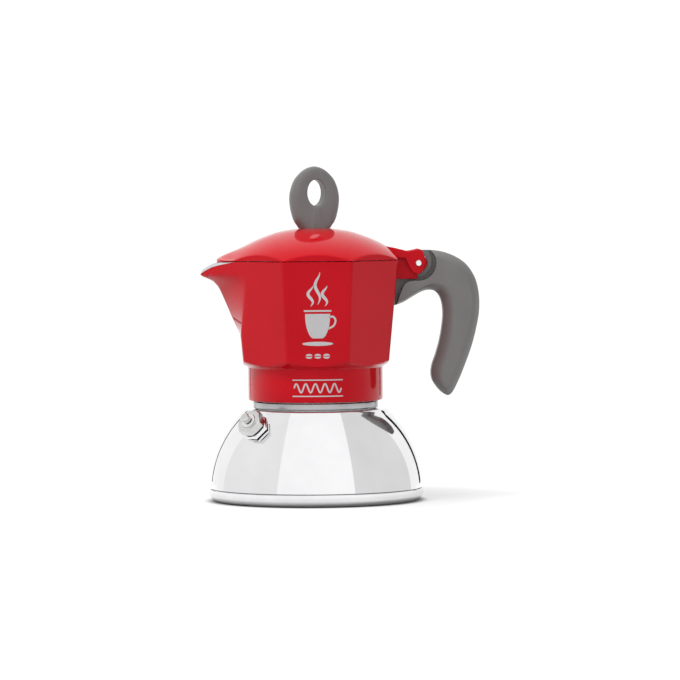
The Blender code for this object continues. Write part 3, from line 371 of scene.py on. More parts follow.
# %% [markdown]
# ## Studio
#
# The pot stands on pale paper that sweeps up behind it and glows a little, so it stays near white. Its glow
# fades out under the pot and in a wider pool round it: a painted contact shadow and a painted soft shadow.

# %% Paper that sweeps up behind the pot
WHITE = (1.0, 1.0, 1.0, 1.0)
PAPER_GLOW = 0.66
PAPER_GLOW_ON_SURFACES = 0.15                   # share of the glow that lights matt surfaces
# These two pools paint shade into the paper's glow: a contact shadow under the base, a soft shadow to the
# right.
PAINTED_FOOT_SHADOW = ((0.0, 0.0, 0.0), 0.0505, 0.0555, 0.03)      # centre, start and end of the fade, least glow
PAINTED_SOFT_SHADOW = ((0.014, 0.008, 0.0), 0.045, 0.11, 0.72)
PAPER_FRONT = 1.2
PAPER_BACK = 1.6
PAPER_HEIGHT = 1.8
PAPER_HALF = 2.0
PAPER_SINK = 0.0002                             # keeps the paper from touching the base
BEND_RADIUS = 0.4
BEND_STEPS = 9


def matt_glow(name, weave, low, high):
    """A matt material of a grey tone between two values, which can also give off white light."""
    material, shader = new_finish(name, specular=0.0)
    material.cycles.emission_sampling = "NONE"
    shader.inputs["Roughness"].default_value = 0.9
    shader.inputs["Emission Color"].default_value = WHITE
    shade_range(material, grain(material, weave), shader.inputs["Base Color"], (low,) * 3, (high,) * 3)
    return material, shader


def paper_material():
    material, shader = matt_glow("paper", 0.002, 0.40, 0.42)
    nodes = material.node_tree.nodes
    links = material.node_tree.links
    ray = nodes.new("ShaderNodeLightPath")
    seen = nodes.new("ShaderNodeMath")
    seen.operation = "MAXIMUM"
    links.new(ray.outputs["Is Camera Ray"], seen.inputs[0])
    links.new(ray.outputs["Is Glossy Ray"], seen.inputs[1])
    glow = nodes.new("ShaderNodeMapRange")
    glow.inputs["To Min"].default_value = PAPER_GLOW * PAPER_GLOW_ON_SURFACES
    glow.inputs["To Max"].default_value = PAPER_GLOW
    links.new(seen.outputs["Value"], glow.inputs["Value"])
    strength = glow.outputs["Result"]
    # Each pool is a painted shadow that dims the glow near its centre.
    for centre, near, far, least in (PAINTED_FOOT_SHADOW, PAINTED_SOFT_SHADOW):
        place = nodes.new("ShaderNodeTexCoord")
        reach = nodes.new("ShaderNodeVectorMath")
        reach.operation = "DISTANCE"
        reach.inputs[1].default_value = centre
        links.new(place.outputs["Object"], reach.inputs[0])
        fade = nodes.new("ShaderNodeMapRange")
        fade.interpolation_type = "SMOOTHSTEP"
        fade.inputs["From Min"].default_value = near
        fade.inputs["From Max"].default_value = far
        fade.inputs["To Min"].default_value = least
        links.new(reach.outputs["Value"], fade.inputs["Value"])
        product = nodes.new("ShaderNodeMath")
        product.operation = "MULTIPLY"
        links.new(strength, product.inputs[0])
        links.new(fade.outputs["Result"], product.inputs[1])
        strength = product.outputs["Value"]
    links.new(strength, shader.inputs["Emission Strength"])
    return material


deselect()
bpy.ops.mesh.primitive_plane_add(size=1.0)
paper = bpy.context.object
paper.name = "paper_sweep"
paper.scale = (2 * PAPER_HALF, PAPER_FRONT + PAPER_BACK, 1.0)
paper.location = (0.0, (PAPER_BACK - PAPER_FRONT) / 2, -PAPER_SINK)
bpy.ops.object.transform_apply(location=True, rotation=True, scale=True)
edit(paper, "DESELECT")
shape = bmesh.from_edit_mesh(paper.data)
for edge in shape.edges:
    edge.select = all(vertex.co.y > 0 for vertex in edge.verts)
bmesh.update_edit_mesh(paper.data)
for step in range(BEND_STEPS):
    angle = math.pi / 2 * step / BEND_STEPS
    reach = BEND_RADIUS * math.pi / 2 / BEND_STEPS
    bpy.ops.mesh.extrude_edges_move(
        TRANSFORM_OT_translate={"value": (0.0, reach * math.cos(angle), reach * math.sin(angle))})
bpy.ops.mesh.extrude_edges_move(TRANSFORM_OT_translate={"value": (0.0, 0.0, PAPER_HEIGHT)})
bpy.ops.object.mode_set(mode="OBJECT")
bpy.ops.object.shade_smooth()
paper.data.materials.append(paper_material())
print("paper laid, with", len(paper.data.polygons), "faces")

# %% [markdown]
# A light tent of glowing panels closes the studio. Polished steel shows only what stands round it, so the
# seams between brighter and darker panels are the crisp edges in the dome's reflection. Two narrow dark cards
# behind the pot draw the dark lines near the dome's edges. The camera doesn't see the cards.

# %% Light tent and dark cards
TENT_RADIUS = 2.8
TENT_FLOOR_Z = -0.3
TENT_TONE = 0.06
TENT_BACK_FROM = 118.0                          # degrees from the front at which the back panel starts
TENT_GLOW = {"left": 0.89, "middle": 1.06, "right": 0.76, "back": 1.0}
SEAMS = {"left": Vector((-0.948, 0.298, 0.113)), "right": Vector((0.961, 0.261, 0.090))}
SEAM_REACH = {"left": 0.455, "right": 0.419}    # distance of each seam's plane, as a share of the radius
CARD_TONE = 0.01


def glowing(name, tone, glow):
    material, shader = matt_glow(name, 0.01, tone, tone * 1.05)
    shader.inputs["Emission Strength"].default_value = glow
    return material


def dark_card(name, size, spot, lean=0.0):
    """An upright black card that faces the pot's axis and leans sideways."""
    deselect()
    bpy.ops.mesh.primitive_plane_add(size=1.0)
    made = bpy.context.object
    made.name = name
    made.scale = (*size, 1.0)
    made.location = spot
    towards_axis = Vector((0.0, 0.0, spot[2])) - Vector(spot)
    facing = towards_axis.to_track_quat("Z", "Y").to_matrix()
    made.rotation_euler = (facing @ Matrix.Rotation(lean, 3, "Z")).to_euler()
    made.data.materials.append(glowing(name, CARD_TONE, 0.0))
    made.visible_camera = False


dark_card("dark_card_left", (0.022, 0.24), (-0.205, 0.375, 0.12), math.radians(-10.0))
dark_card("dark_card_right", (0.046, 0.24), (0.265, 0.335, 0.12))

deselect()
bpy.ops.mesh.primitive_uv_sphere_add(segments=72, ring_count=36, radius=TENT_RADIUS)
tent = bpy.context.object
tent.name = "light_tent"
edit(tent)
bpy.ops.mesh.bisect(plane_co=(0, 0, TENT_FLOOR_Z), plane_no=(0, 0, 1), clear_inner=True)
for side, across in SEAMS.items():
    edit(tent)
    bpy.ops.mesh.bisect(plane_co=across * SEAM_REACH[side] * TENT_RADIUS, plane_no=across)
bpy.ops.object.mode_set(mode="OBJECT")
panels = list(TENT_GLOW)
for panel, glow in TENT_GLOW.items():
    tent.data.materials.append(glowing("tent_" + panel, TENT_TONE, glow))
for face in tent.data.polygons:
    spot = face.center / TENT_RADIUS
    side = "left" if spot.x < 0 else "right"
    if spot.dot(SEAMS[side]) < SEAM_REACH[side]:
        panel = "middle"
    elif math.degrees(math.atan2(abs(spot.x), -spot.y)) > TENT_BACK_FROM:
        panel = "back"
    else:
        panel = side
    face.material_index = panels.index(panel)
print("tent panels:", ", ".join(panels))

# %% [markdown]
# One area light from the front left lights the pot and casts its soft shadow; the painted soft shadow in
# the paper's glow deepens it. The camera stands far away behind a long lens, a little above the pot's middle.

# %% Key light, room and camera
KEY_SPOT = (-0.8, -0.6, 1.7)
POT_MIDDLE = (0.0, 0.0, 0.08)
CAMERA_SPOT = (-0.0678, -2.059, 0.160)
CAMERA_TARGET = (0.0121, 0.0, 0.0779)
CAMERA_ROLL = math.radians(-0.43)
LENS = 223.7

deselect()
bpy.ops.object.light_add(type="AREA", location=KEY_SPOT)
key = bpy.context.object
key.name = "key_light"
key.data.size = 0.5
key.data.energy = 14.0
key.rotation_euler = (Vector(POT_MIDDLE) - key.location).to_track_quat("-Z", "Y").to_euler()
key.visible_glossy = False

world = bpy.data.worlds.new("room")
bpy.context.scene.world = world
world.use_nodes = True
world.node_tree.nodes["Background"].inputs["Color"].default_value = WHITE
world.node_tree.nodes["Background"].inputs["Strength"].default_value = 0.3
bpy.context.scene.view_settings.view_transform = "Standard"

deselect()
bpy.ops.object.camera_add(location=CAMERA_SPOT)
camera = bpy.context.object
camera.name = "camera"
camera.data.lens = LENS
camera.data.sensor_width = 36.0
aim = (Vector(CAMERA_TARGET) - Vector(CAMERA_SPOT)).to_track_quat("-Z", "Y")
camera.rotation_euler = (aim.to_matrix() @ Matrix.Rotation(CAMERA_ROLL, 3, "Z")).to_euler()
bpy.context.scene.camera = camera
print("camera ready with a lens of", LENS, "mm")

# %% [markdown]
# ## The boiler
#
# On the real pot the boiler is a steel base pan, for the induction field, under a deep-drawn dome of polished
# steel. Both are turned shapes, so each is spun from its profile. The dome's meridian is one long arc that
# leans in to a small flat shoulder. The bead is the flange that the collar screws down to.

# %% Dome of polished steel
DOME_ARC = 57.5 * MM
DOME_CENTRE = (-4.998 * MM, 3.0 * MM)
SHOULDER_Z = 44.8 * MM
SHOULDER_START = (35.6 * MM, 43.68 * MM)
DOME_FOOT_Z = 6.3 * MM
DOME_WALL = 0.9 * MM


def dome_angle(point):
    return math.atan2(point[1] - DOME_CENTRE[1], point[0] - DOME_CENTRE[0])


foot_radius = DOME_CENTRE[0] + math.sqrt(DOME_ARC ** 2 - (DOME_FOOT_Z - DOME_CENTRE[1]) ** 2)
low = dome_angle((foot_radius, DOME_FOOT_Z))
high = dome_angle(SHOULDER_START)
outside = arc_points(DOME_CENTRE, DOME_ARC, low, high, 24)
inside = arc_points(DOME_CENTRE, DOME_ARC - DOME_WALL, high, low, 12)
knee = [(35.25 * MM, 44.22 * MM), (34.8 * MM, 44.58 * MM), (34.2 * MM, 44.76 * MM), (33.6 * MM, SHOULDER_Z)]
rim = [(28.9 * MM, SHOULDER_Z), (28.9 * MM, SHOULDER_Z - DOME_WALL), (34.0 * MM, SHOULDER_Z - DOME_WALL)]
profile = [(foot_radius - 0.25 * MM, DOME_FOOT_Z), (foot_radius, DOME_FOOT_Z + 0.25 * MM)]
profile += outside[1:] + knee + rim + inside
profile.append(profile[0])
dome = spin("dome_skin", profile, steps=192)
finish(dome, "boiler", "polished_steel", polished_steel, "boiler_dome_shell")

# %% Base pan of brushed steel
BASE_RADIUS = 52.4 * MM
SEAM_Z = 6.0 * MM
BASE_CORNER = 4.5 * MM
centre = (BASE_RADIUS - BASE_CORNER, BASE_CORNER)
profile = [(0.0, 1.0 * MM), (48.0 * MM, 1.0 * MM), (51.4 * MM, 3.2 * MM), (51.4 * MM, SEAM_Z - 0.3 * MM)]
profile += [(51.7 * MM, SEAM_Z), (BASE_RADIUS - 0.35 * MM, SEAM_Z), (BASE_RADIUS, SEAM_Z - 0.35 * MM)]
profile += arc_points(centre, BASE_CORNER, 0.0, -math.pi / 2, 10)
profile += [(44.0 * MM, 0.0), (43.6 * MM, 0.25 * MM), (20.0 * MM, 0.25 * MM), (19.6 * MM, 0.0), (0.0, 0.0)]
pan = spin("base_pan", profile, steps=192)
finish(pan, "boiler", "satin_steel", satin_steel, "boiler_base_pan")

# %% Bead round the neck
BEAD_BORE = 28.3 * MM
BEAD_RADIUS = 30.45 * MM
BEAD_LOW = 45.12 * MM
BEAD_HIGH = 48.52 * MM
profile = [(BEAD_BORE, BEAD_LOW), (BEAD_RADIUS, BEAD_LOW), (BEAD_RADIUS, BEAD_HIGH), (BEAD_BORE, BEAD_HIGH)]
bead = spin("neck_bead", soften(profile, 0.7 * MM, steps=4, closed=True), steps=128)
finish(bead, "boiler", "bare_aluminium", turned_aluminium)

# %% [markdown]
# ## Safety valve
#
# The valve stands square to the dome. Its pieces are made upright and then turned by one matrix. The nuts are
# hexagons whose corners a cone trims, which gives each corner its curved chamfer. A rule for the radius does
# that: the smaller of the hexagon and the cone at each height.

# %% Nuts, gasket, bush and pin
valve_axis = Vector((-0.573519, -0.573519, 0.584938))
valve_spot = Vector((-29.439 * MM, -29.439 * MM, 36.6 * MM))
valve_heading = math.radians(225.0)             # towards the front left, seen from above
valve_lean = math.acos(valve_axis.z)
NUT_FLAT = 6.0 * MM
NUT_POINTS = 96


def on_dome(piece):
    """Turn an upright piece to the dome's normal and move it there."""
    piece.rotation_euler = (0.0, valve_lean, valve_heading)
    piece.location = valve_spot
    activate(piece)
    bpy.ops.object.transform_apply(location=True, rotation=True, scale=True)
    return piece


def nut(name, low, high, bore, chamfer_low, chamfer_high):
    """A hexagon nut with a bore, and a cone's chamfer at one end or both."""
    cone = NUT_FLAT * 0.995
    corner = NUT_FLAT / math.cos(math.pi / 6) - cone
    outer = [(low, cone if chamfer_low else 1.0)]
    if chamfer_low:
        outer += [(low + corner * share * 0.5, cone + corner * share) for share in (0.25, 0.5, 0.75, 1.0)]
    if chamfer_high:
        outer += [(high - corner * share * 0.5, cone + corner * share) for share in (1.0, 0.75, 0.5, 0.25)]
    outer.append((high, cone if chamfer_high else 1.0))
    rings = [[(bore, low)], *[[(reach, z)] for z, reach in outer], [(bore, high)]]
    shaped = []
    for index, ((reach, z),) in enumerate(rings):
        ring = []
        for step in range(NUT_POINTS):
            angle = math.tau * step / NUT_POINTS
            from_flat = (angle + math.pi / 6) % (math.pi / 3) - math.pi / 6
            hexagon = NUT_FLAT / math.cos(from_flat)
            radius = bore if index in (0, len(rings) - 1) else min(hexagon, reach)
            ring.append((radius * math.cos(angle), radius * math.sin(angle), z))
        shaped.append(ring)
    return on_dome(cast(name, shaped, ends="join"))


boss = nut("valve_boss_nut", 0.3 * MM, 2.1 * MM, 4.0 * MM, False, True)
finish(boss, "boiler", "polished_steel", polished_steel, "valve_boss", angle=25.0)
profile = [(3.5 * MM, 2.25 * MM), (5.75 * MM, 2.25 * MM), (5.75 * MM, 3.0 * MM), (3.5 * MM, 3.0 * MM)]
washer = on_dome(spin("valve_washer", soften(profile, 0.25 * MM, closed=True), steps=64))
finish(washer, "boiler", "black_rubber", black_rubber, "valve_gasket")
front = nut("valve_front_nut", 3.2 * MM, 7.0 * MM, 3.7 * MM, True, True)
finish(front, "boiler", "plated_brass", plated_brass, "valve_body", angle=25.0)
profile = [(1.2 * MM, 5.0 * MM), (3.6 * MM, 5.0 * MM), (3.6 * MM, 7.5 * MM), (1.2 * MM, 7.5 * MM)]
bush = on_dome(spin("valve_bush_ring", soften(profile, 0.4 * MM, closed=True), steps=64))
finish(bush, "boiler", "satin_steel", satin_steel, "valve_bush")
profile = [(0.0, 11.2 * MM), (2.15 * MM, 11.2 * MM), (2.15 * MM, 7.8 * MM), (0.8 * MM, 7.8 * MM),
           (0.8 * MM, -2.0 * MM), (0.0, -2.0 * MM)]
pin = on_dome(spin("valve_pin", soften(profile, 0.8 * MM, steps=5), steps=64))
finish(pin, "valve_stem", "plated_brass", plated_brass, "valve_piston")

# %% [markdown]
# ## The collector
#
# The upper pot is one aluminium casting with eight flat sides that lean outwards, a pouring spout drawn out
# of its left side and a round collar below. It is lacquered outside and bare inside. A single stack of rings
# follows it from the inside of the wall over the rim and down to the collar. The distance of each point from
# the axis comes from two rules: an octagon with rounded corners, and the two flanks of the spout that meet in
# a rounded keel. The lacquer stops at the spout's lip, where the casting is machined bare, so the red skin
# and the bare lining are two closed pieces with a hair's gap between them, halfway through the wall.

# %% Rules for the wall
RIM_Z = 117.1 * MM
OCTAGON_BOTTOM_Z = 66.5 * MM
FLOOR_Z = 67.2 * MM
CEILING_Z = 64.6 * MM
APOTHEM_BOTTOM = 35.2 * MM
APOTHEM_RIM = 40.0 * MM
WALL = 2.2 * MM
SPOUT_START_Z = RIM_Z - 36.1 * MM
SPOUT_SHIFT = 7.0 * MM
EDGE_ROUND = 2.4 * MM
KEEL_ROUND = 1.6 * MM
HALF_SIDE = math.pi / 8
CONE_SLOPE = 1.5                                # a cone trims the corners at the octagon's foot
LIP_FROM = 37.0 * MM                            # the lip starts this far out towards the spout
LIP_FADE = 9.0 * MM
LIP_LEAST = 0.12


def apothem(z):
    share = (z - OCTAGON_BOTTOM_Z) / (RIM_Z - OCTAGON_BOTTOM_Z)
    return APOTHEM_BOTTOM + (APOTHEM_RIM - APOTHEM_BOTTOM) * share


# Both lines are in mm from the rim of the side: the keel as (rise, reach), and the lip as (reach, rise).
keel_anchors = [(-36.1, -3.42), (-29.1, -0.1), (-19.3, 4.2), (-12.1, 7.8), (-8.8, 12.2), (-7.4, 16.55),
                (0.0, 16.7)]
keel_line = [(RIM_Z + rise * MM, APOTHEM_RIM + reach * MM)
             for rise, reach in smooth_line(keel_anchors[:6], 6) + keel_anchors[6:]]
lip_anchors = [(0.5, 0.0), (6.0, -0.6), (10.5, -1.9), (14.0, -3.9), (16.7, -6.0)]
lip_line = [(APOTHEM_RIM + reach * MM, RIM_Z + rise * MM) for reach, rise in smooth_line(lip_anchors, 5)]

# Points are dense at the corners and at the keel, and sparse on the flats.
corner_turns = [math.radians(turn) for turn in (-1.9, -1.3, -0.85, -0.4, 0.0, 0.4, 0.85, 1.3, 1.9)]
flat_turns = [math.radians(turn) for turn in (-17, -12, -7, -3.4, -1.6, -0.8, 0, 0.8, 1.6, 3.4, 7, 12, 17)]
root_turns = [math.radians(turn) for turn in (8.5, 10, 13.5, 15, 18.2, 19.4)]    # along the spout's root
ANGLES = []
for side in range(8):
    turns = flat_turns + {3: root_turns, 5: [-turn for turn in root_turns]}.get(side, [])
    ANGLES += [2 * HALF_SIDE * side + turn for turn in sorted(turns)]
    ANGLES += [2 * HALF_SIDE * side + HALF_SIDE + turn for turn in corner_turns]
print("each ring has", len(ANGLES), "points")


def octagon_radius(angle, side_distance, rounding):
    """Distance from the axis to an octagon whose corners are arcs of the given radius."""
    from_side = abs((angle + HALF_SIDE) % (2 * HALF_SIDE) - HALF_SIDE)
    sharp = side_distance / math.cos(from_side)
    if math.tan(from_side) * side_distance < (side_distance - rounding) * math.tan(HALF_SIDE):
        return sharp
    middle = (side_distance - rounding) / math.cos(HALF_SIDE)
    off = HALF_SIDE - from_side
    return middle * math.cos(off) + math.sqrt(rounding ** 2 - (middle * math.sin(off)) ** 2)


def collector_radius(angle, z, inset=0.0):
    side = apothem(z) - inset
    cone = APOTHEM_BOTTOM + 0.1 * MM - inset + CONE_SLOPE * (z - OCTAGON_BOTTOM_Z)
    plain = min(octagon_radius(angle, side, EDGE_ROUND), cone)
    if z <= SPOUT_START_Z:
        return plain
    off = abs(math.remainder(angle - math.pi, math.tau))
    shift = SPOUT_SHIFT * (z - SPOUT_START_Z) / (RIM_Z - SPOUT_START_Z)
    root_x = side - shift
    root_y = side * math.tan(HALF_SIDE) + shift
    if off >= math.atan2(root_y, root_x):
        return plain
    keel = max(value_on(keel_line, z) - 1.35 * inset, side)
    flank = keel * root_y / (math.cos(off) * root_y + math.sin(off) * (keel - root_x))
    length = math.hypot(root_y, keel - root_x)
    sine, cosine = root_y / length, (keel - root_x) / length
    middle = keel - KEEL_ROUND / sine
    if off < math.atan2(KEEL_ROUND * cosine, middle + KEEL_ROUND * sine):
        flank = middle * math.cos(off) + math.sqrt(KEEL_ROUND ** 2 - (middle * math.sin(off)) ** 2)
    return min(flank, max(flank, plain))


def rim_height(angle, inset=0.0):
    """Where the wall meets the lip's line, found by halving the step between the two."""
    z = RIM_Z
    for _ in range(14):
        reach = -collector_radius(angle, z, inset) * math.cos(angle)
        z = (z + value_on(lip_line, reach)) / 2
    return z


def at(angle, radius, z):
    return (radius * math.cos(angle), radius * math.sin(angle), z)


def wall_ring(share, foot, inset, below_rim=0.0, lift=0.0):
    """A ring at a share of the way from a foot height up to the rim, or to a depth below it."""
    ring = []
    for angle in ANGLES:
        top = rim_height(angle, inset) - below_rim * lip_share(angle)
        z = foot + (top - foot) * share + lift
        ring.append(at(angle, collector_radius(angle, z, inset), z))
    return ring


def lip_share(angle):
    """Near 0 where the lid covers the rim, and 1 along the spout's lip."""
    reach = -collector_radius(angle, RIM_Z) * math.cos(angle)
    t = min(max((reach - LIP_FROM) / LIP_FADE, 0.0), 1.0)
    return LIP_LEAST + (1 - LIP_LEAST) * t * t * (3 - 2 * t)


def round_ring(radius, z):
    return [at(angle, radius, z) for angle in ANGLES]


# %% Red skin of the collector
COLLAR_RADIUS = 32.8 * MM
COLLAR_BORE = 30.5 * MM
COLLAR_FOOT_Z = 48.92 * MM
GASKET_SEAT_Z = 59.8 * MM
CHAMBER_RADIUS = 28.5 * MM                      # the space over the gasket
RISER_HOLE = 4.1 * MM
FLOOR_MIDDLE_Z = 66.0 * MM                      # where the skin and the lining meet in the floor
LIP_BARE = 1.25 * MM                            # height of the machined band on the spout's lip
SEAM_GAP = 0.02 * MM
RIM_EASE = 0.3 * MM
levels = [0.0, 0.008, 0.016, 0.024, 0.032, 0.042, 0.055, 0.08, 0.17, 0.25, 0.28, 0.31, 0.34, 0.37,
          0.40, 0.43, 0.46, 0.49, 0.52, 0.55, 0.61, 0.67, 0.73, 0.78, 0.83, 0.87, 0.91, 0.94, 0.97, 1.0]
inner_levels = levels[::3] + [1.0]
split = WALL / 2
collar = [(34.6 * MM, 66.15 * MM), (33.6 * MM, 65.6 * MM), (32.95 * MM, 64.95 * MM),
          (COLLAR_RADIUS, 64.2 * MM), (COLLAR_RADIUS, 57.0 * MM), (COLLAR_RADIUS, 49.6 * MM),
          (32.65 * MM, 49.15 * MM), (32.2 * MM, COLLAR_FOOT_Z), (30.8 * MM, COLLAR_FOOT_Z),
          (COLLAR_BORE, 49.2 * MM), (COLLAR_BORE, GASKET_SEAT_Z), (CHAMBER_RADIUS, GASKET_SEAT_Z),
          (CHAMBER_RADIUS, CEILING_Z + 0.3 * MM), (28.2 * MM, CEILING_Z), (RISER_HOLE, CEILING_Z)]
rings = [round_ring(RISER_HOLE, FLOOR_MIDDLE_Z)]
rings += [wall_ring(level, FLOOR_MIDDLE_Z, split, LIP_BARE) for level in inner_levels]
rings += [wall_ring(1.0, OCTAGON_BOTTOM_Z, RIM_EASE, LIP_BARE)]
rings += [wall_ring(1.0, OCTAGON_BOTTOM_Z, 0.0, LIP_BARE, -0.25 * MM)]
rings += [wall_ring(level, OCTAGON_BOTTOM_Z, 0.0, LIP_BARE) for level in reversed(levels[:-1])]
rings += [round_ring(radius, z) for radius, z in collar]
skin = cast("collector_skin", rings, ends="join")
finish(skin, "collector", "red_lacquer", red_paint, "collector_body", angle=25.0)

# %% Bare lining with the machined lip
LINING_FOOT_Z = FLOOR_MIDDLE_Z + 0.05 * MM
inner_floor = FLOOR_Z + 1.2 * MM
lip_steps = [(SEAM_GAP, 1.0, SEAM_GAP), (0.12 * MM, 0.75, 0.0), (0.75 * MM, 0.12, 0.0), (1.0 * MM, 0.0, 0.0),
             (1.8 * MM, 0.0, 0.0), (WALL, 0.15, 0.0)]             # inset, share of LIP_BARE, lift
rings = [round_ring(RISER_HOLE, LINING_FOOT_Z)]
rings += [wall_ring(level, LINING_FOOT_Z, split + SEAM_GAP, LIP_BARE, SEAM_GAP) for level in inner_levels]
rings += [wall_ring(1.0, FLOOR_Z, inset, LIP_BARE * share, lift) for inset, share, lift in lip_steps]
rings += [wall_ring(level, inner_floor, WALL) for level in reversed(levels[:-1:2])]
rings += [wall_ring(0.0, FLOOR_Z + 0.4 * MM, WALL + 0.4 * MM), wall_ring(0.0, FLOOR_Z, WALL + 1.2 * MM)]
rings += [round_ring(20.0 * MM, FLOOR_Z), round_ring(RISER_HOLE, FLOOR_Z)]
lining = cast("collector_lining", rings, ends="join")
finish(lining, "collector", "bare_aluminium", bare_aluminium, angle=25.0)

# %% [markdown]
# ## The lid
#
# The lid is one casting: a shallow dome over an eight-sided upright band, a blunt nose over the spout and two
# ears that reach back to the hinge. The dome and the band meet in a scalloped line, because a round dome
# drops below the band's top at each corner and rises above it at each side's middle. Its rings run from the
# band's foot up to the crown and back down inside, so the lid is a real shell. The ears are thick plates
# whose edges are eased.

# %% Lid shell
LID_WALL = 1.2 * MM
LID_FOOT_GAP = 0.06 * MM
NOSE_X = 47.8 * MM
NOSE_BLEND = 24                                 # a higher power gives the nose sharper corners
CROWN_Z = RIM_Z + 15.4 * MM
# Both lines are (share of the rim's reach, mm above the rim).
dome_anchors = [(-0.2, 15.4), (0.0, 15.4), (0.2, 15.35), (0.425, 14.0), (0.575, 12.1), (0.7, 10.2),
                (0.825, 7.75), (0.925, 5.3), (1.0, 3.0), (1.0825, 0.0)]
lid_line = [(APOTHEM_RIM * share, RIM_Z + rise * MM) for share, rise in smooth_line(dome_anchors, 6)]
ridge_anchors = [(0.5, 13.0), (0.6425, 10.7), (0.9975, 4.6), (1.1125, 2.7), (1.195, 0.9)]
ridge_line = [(APOTHEM_RIM * share, RIM_Z + rise * MM) for share, rise in smooth_line(ridge_anchors, 5)]
RIDGE_WIDTH = 8.5 * MM
BAND_LEAST = 0.35 * MM                          # the upright band is never lower than this
KNOB_HOLE = 1.85 * MM


def lid_radius(angle, inset=0.0):
    side = APOTHEM_RIM - 0.05 * MM - inset
    off = abs(math.remainder(angle - math.pi, math.tau))
    if off > 2 * HALF_SIDE:
        return octagon_radius(angle, side, EDGE_ROUND)
    flank = side / math.cos(2 * HALF_SIDE - off)
    nose = (NOSE_X - inset) / math.cos(off)
    return (flank ** -NOSE_BLEND + nose ** -NOSE_BLEND) ** (-1 / NOSE_BLEND)


def lid_surface(angle, radius):
    crown = value_on(lid_line, radius)
    if math.cos(angle) > 0 or radius < ridge_line[0][0]:
        return crown
    ridge = value_on(ridge_line, -radius * math.cos(angle))
    aside = radius * math.sin(angle) / RIDGE_WIDTH
    return crown + max(ridge - crown, 0.0) * math.exp(-aside ** 2)


def lid_foot(angle, inset=0.0):
    return value_on(lip_line, -lid_radius(angle, inset) * math.cos(angle)) + LID_FOOT_GAP


def band_height(angle):
    """Top of the upright band: where the dome's surface reaches the octagon's side."""
    return max(lid_surface(angle, lid_radius(angle)), lid_foot(angle) + BAND_LEAST)


def lid_ring(share, inset, drop):
    ring = []
    for angle in ANGLES:
        radius = lid_radius(angle, inset) * share
        z = max(lid_surface(angle, radius) - drop, lid_foot(angle) + BAND_LEAST - drop / 3)
        ring.append(at(angle, radius, z))
    return ring


def band_ring(share, inset=0.0):
    ring = []
    for angle in ANGLES:
        foot = lid_foot(angle, inset)
        top = band_height(angle) - 0.1 * MM
        ring.append(at(angle, lid_radius(angle, inset), foot + (top - foot) * share))
    return ring


rings = [band_ring(0.0, 0.25 * MM), band_ring(0.12), band_ring(0.5), band_ring(1.0)]
shares = [0.993, 0.975, 0.95, 0.915, 0.88, 0.83, 0.78, 0.71, 0.64, 0.56, 0.48, 0.4, 0.32, 0.25, 0.2, 0.12]
rings += [lid_ring(share, 0.0, 0.0) for share in shares]
rings += [round_ring(KNOB_HOLE, CROWN_Z), round_ring(KNOB_HOLE, CROWN_Z - LID_WALL)]
rings += [lid_ring(share, LID_WALL, LID_WALL) for share in reversed(shares[::2])]
rings += [band_ring(0.0, LID_WALL)]
lid = cast("lid_casting", rings, ends="join")
finish(lid, "lid", "red_lacquer", red_paint, "lid_shell", angle=28.0)

# %% [markdown]
# Plates such as the ears and the bracket share one way of making: an outline in the side view, repeated in
# rings from front to back. The outermost rings are offset inwards, which eases the edges.

# %% Plates with eased edges
HUB_X = 50.4 * MM
HUB_Z = 115.3 * MM
PIN_HOLE = 1.5 * MM


def offset(outline, distance):
    """Move a closed (x, z) outline inwards by a distance."""
    corners = [Vector(point) for point in outline]
    sides = [(after - before).normalized() for before, after in zip(corners, corners[1:] + corners[:1])]
    area = sum(a.x * b.y - b.x * a.y for a, b in zip(corners, corners[1:] + corners[:1]))
    inward = 1.0 if area > 0 else -1.0
    moved = []
    for corner, before, after in zip(corners, sides[-1:] + sides, sides):
        mitre = Vector((-before.y - after.y, before.x + after.x)) / (1 + before.dot(after))
        moved.append(corner + inward * distance * mitre)
    return [tuple(point) for point in moved]


def plate(name, outline, y_low, y_high, ease, steps=4):
    """A plate with an (x, z) outline between two y planes, with its edges rounded over."""
    quarter = [math.pi / 2 * step / steps for step in range(steps + 1)]
    levels = [(angle, y_low + ease * (1 - math.cos(angle))) for angle in quarter]
    levels += [(angle, y_high - ease * (1 - math.cos(angle))) for angle in reversed(quarter)]
    rings = []
    for angle, y in levels:
        rings.append([(x, y, z) for x, z in offset(outline, ease * (1 - math.sin(angle)))])
    return cast(name, rings)


def from_pin(points):
    """Points given in mm from the hinge pin."""
    return [(HUB_X + x * MM, HUB_Z + z * MM) for x, z in points]


def cylinder_y(radius, x, z, y_low, y_high, vertices=96):
    deselect()
    bpy.ops.mesh.primitive_cylinder_add(vertices=vertices, radius=radius, depth=y_high - y_low,
                                        location=(x, (y_low + y_high) / 2, z),
                                        rotation=(math.pi / 2, 0.0, 0.0))
    return bpy.context.object


def carve(piece, cutter):
    apply_modifier(piece, "BOOLEAN", operation="DIFFERENCE", object=cutter, solver="EXACT")
    bpy.data.objects.remove(cutter, do_unlink=True)


def bore_for_pin(piece):
    carve(piece, cylinder_y(PIN_HOLE, HUB_X, HUB_Z, -10 * MM, 10 * MM, vertices=48))


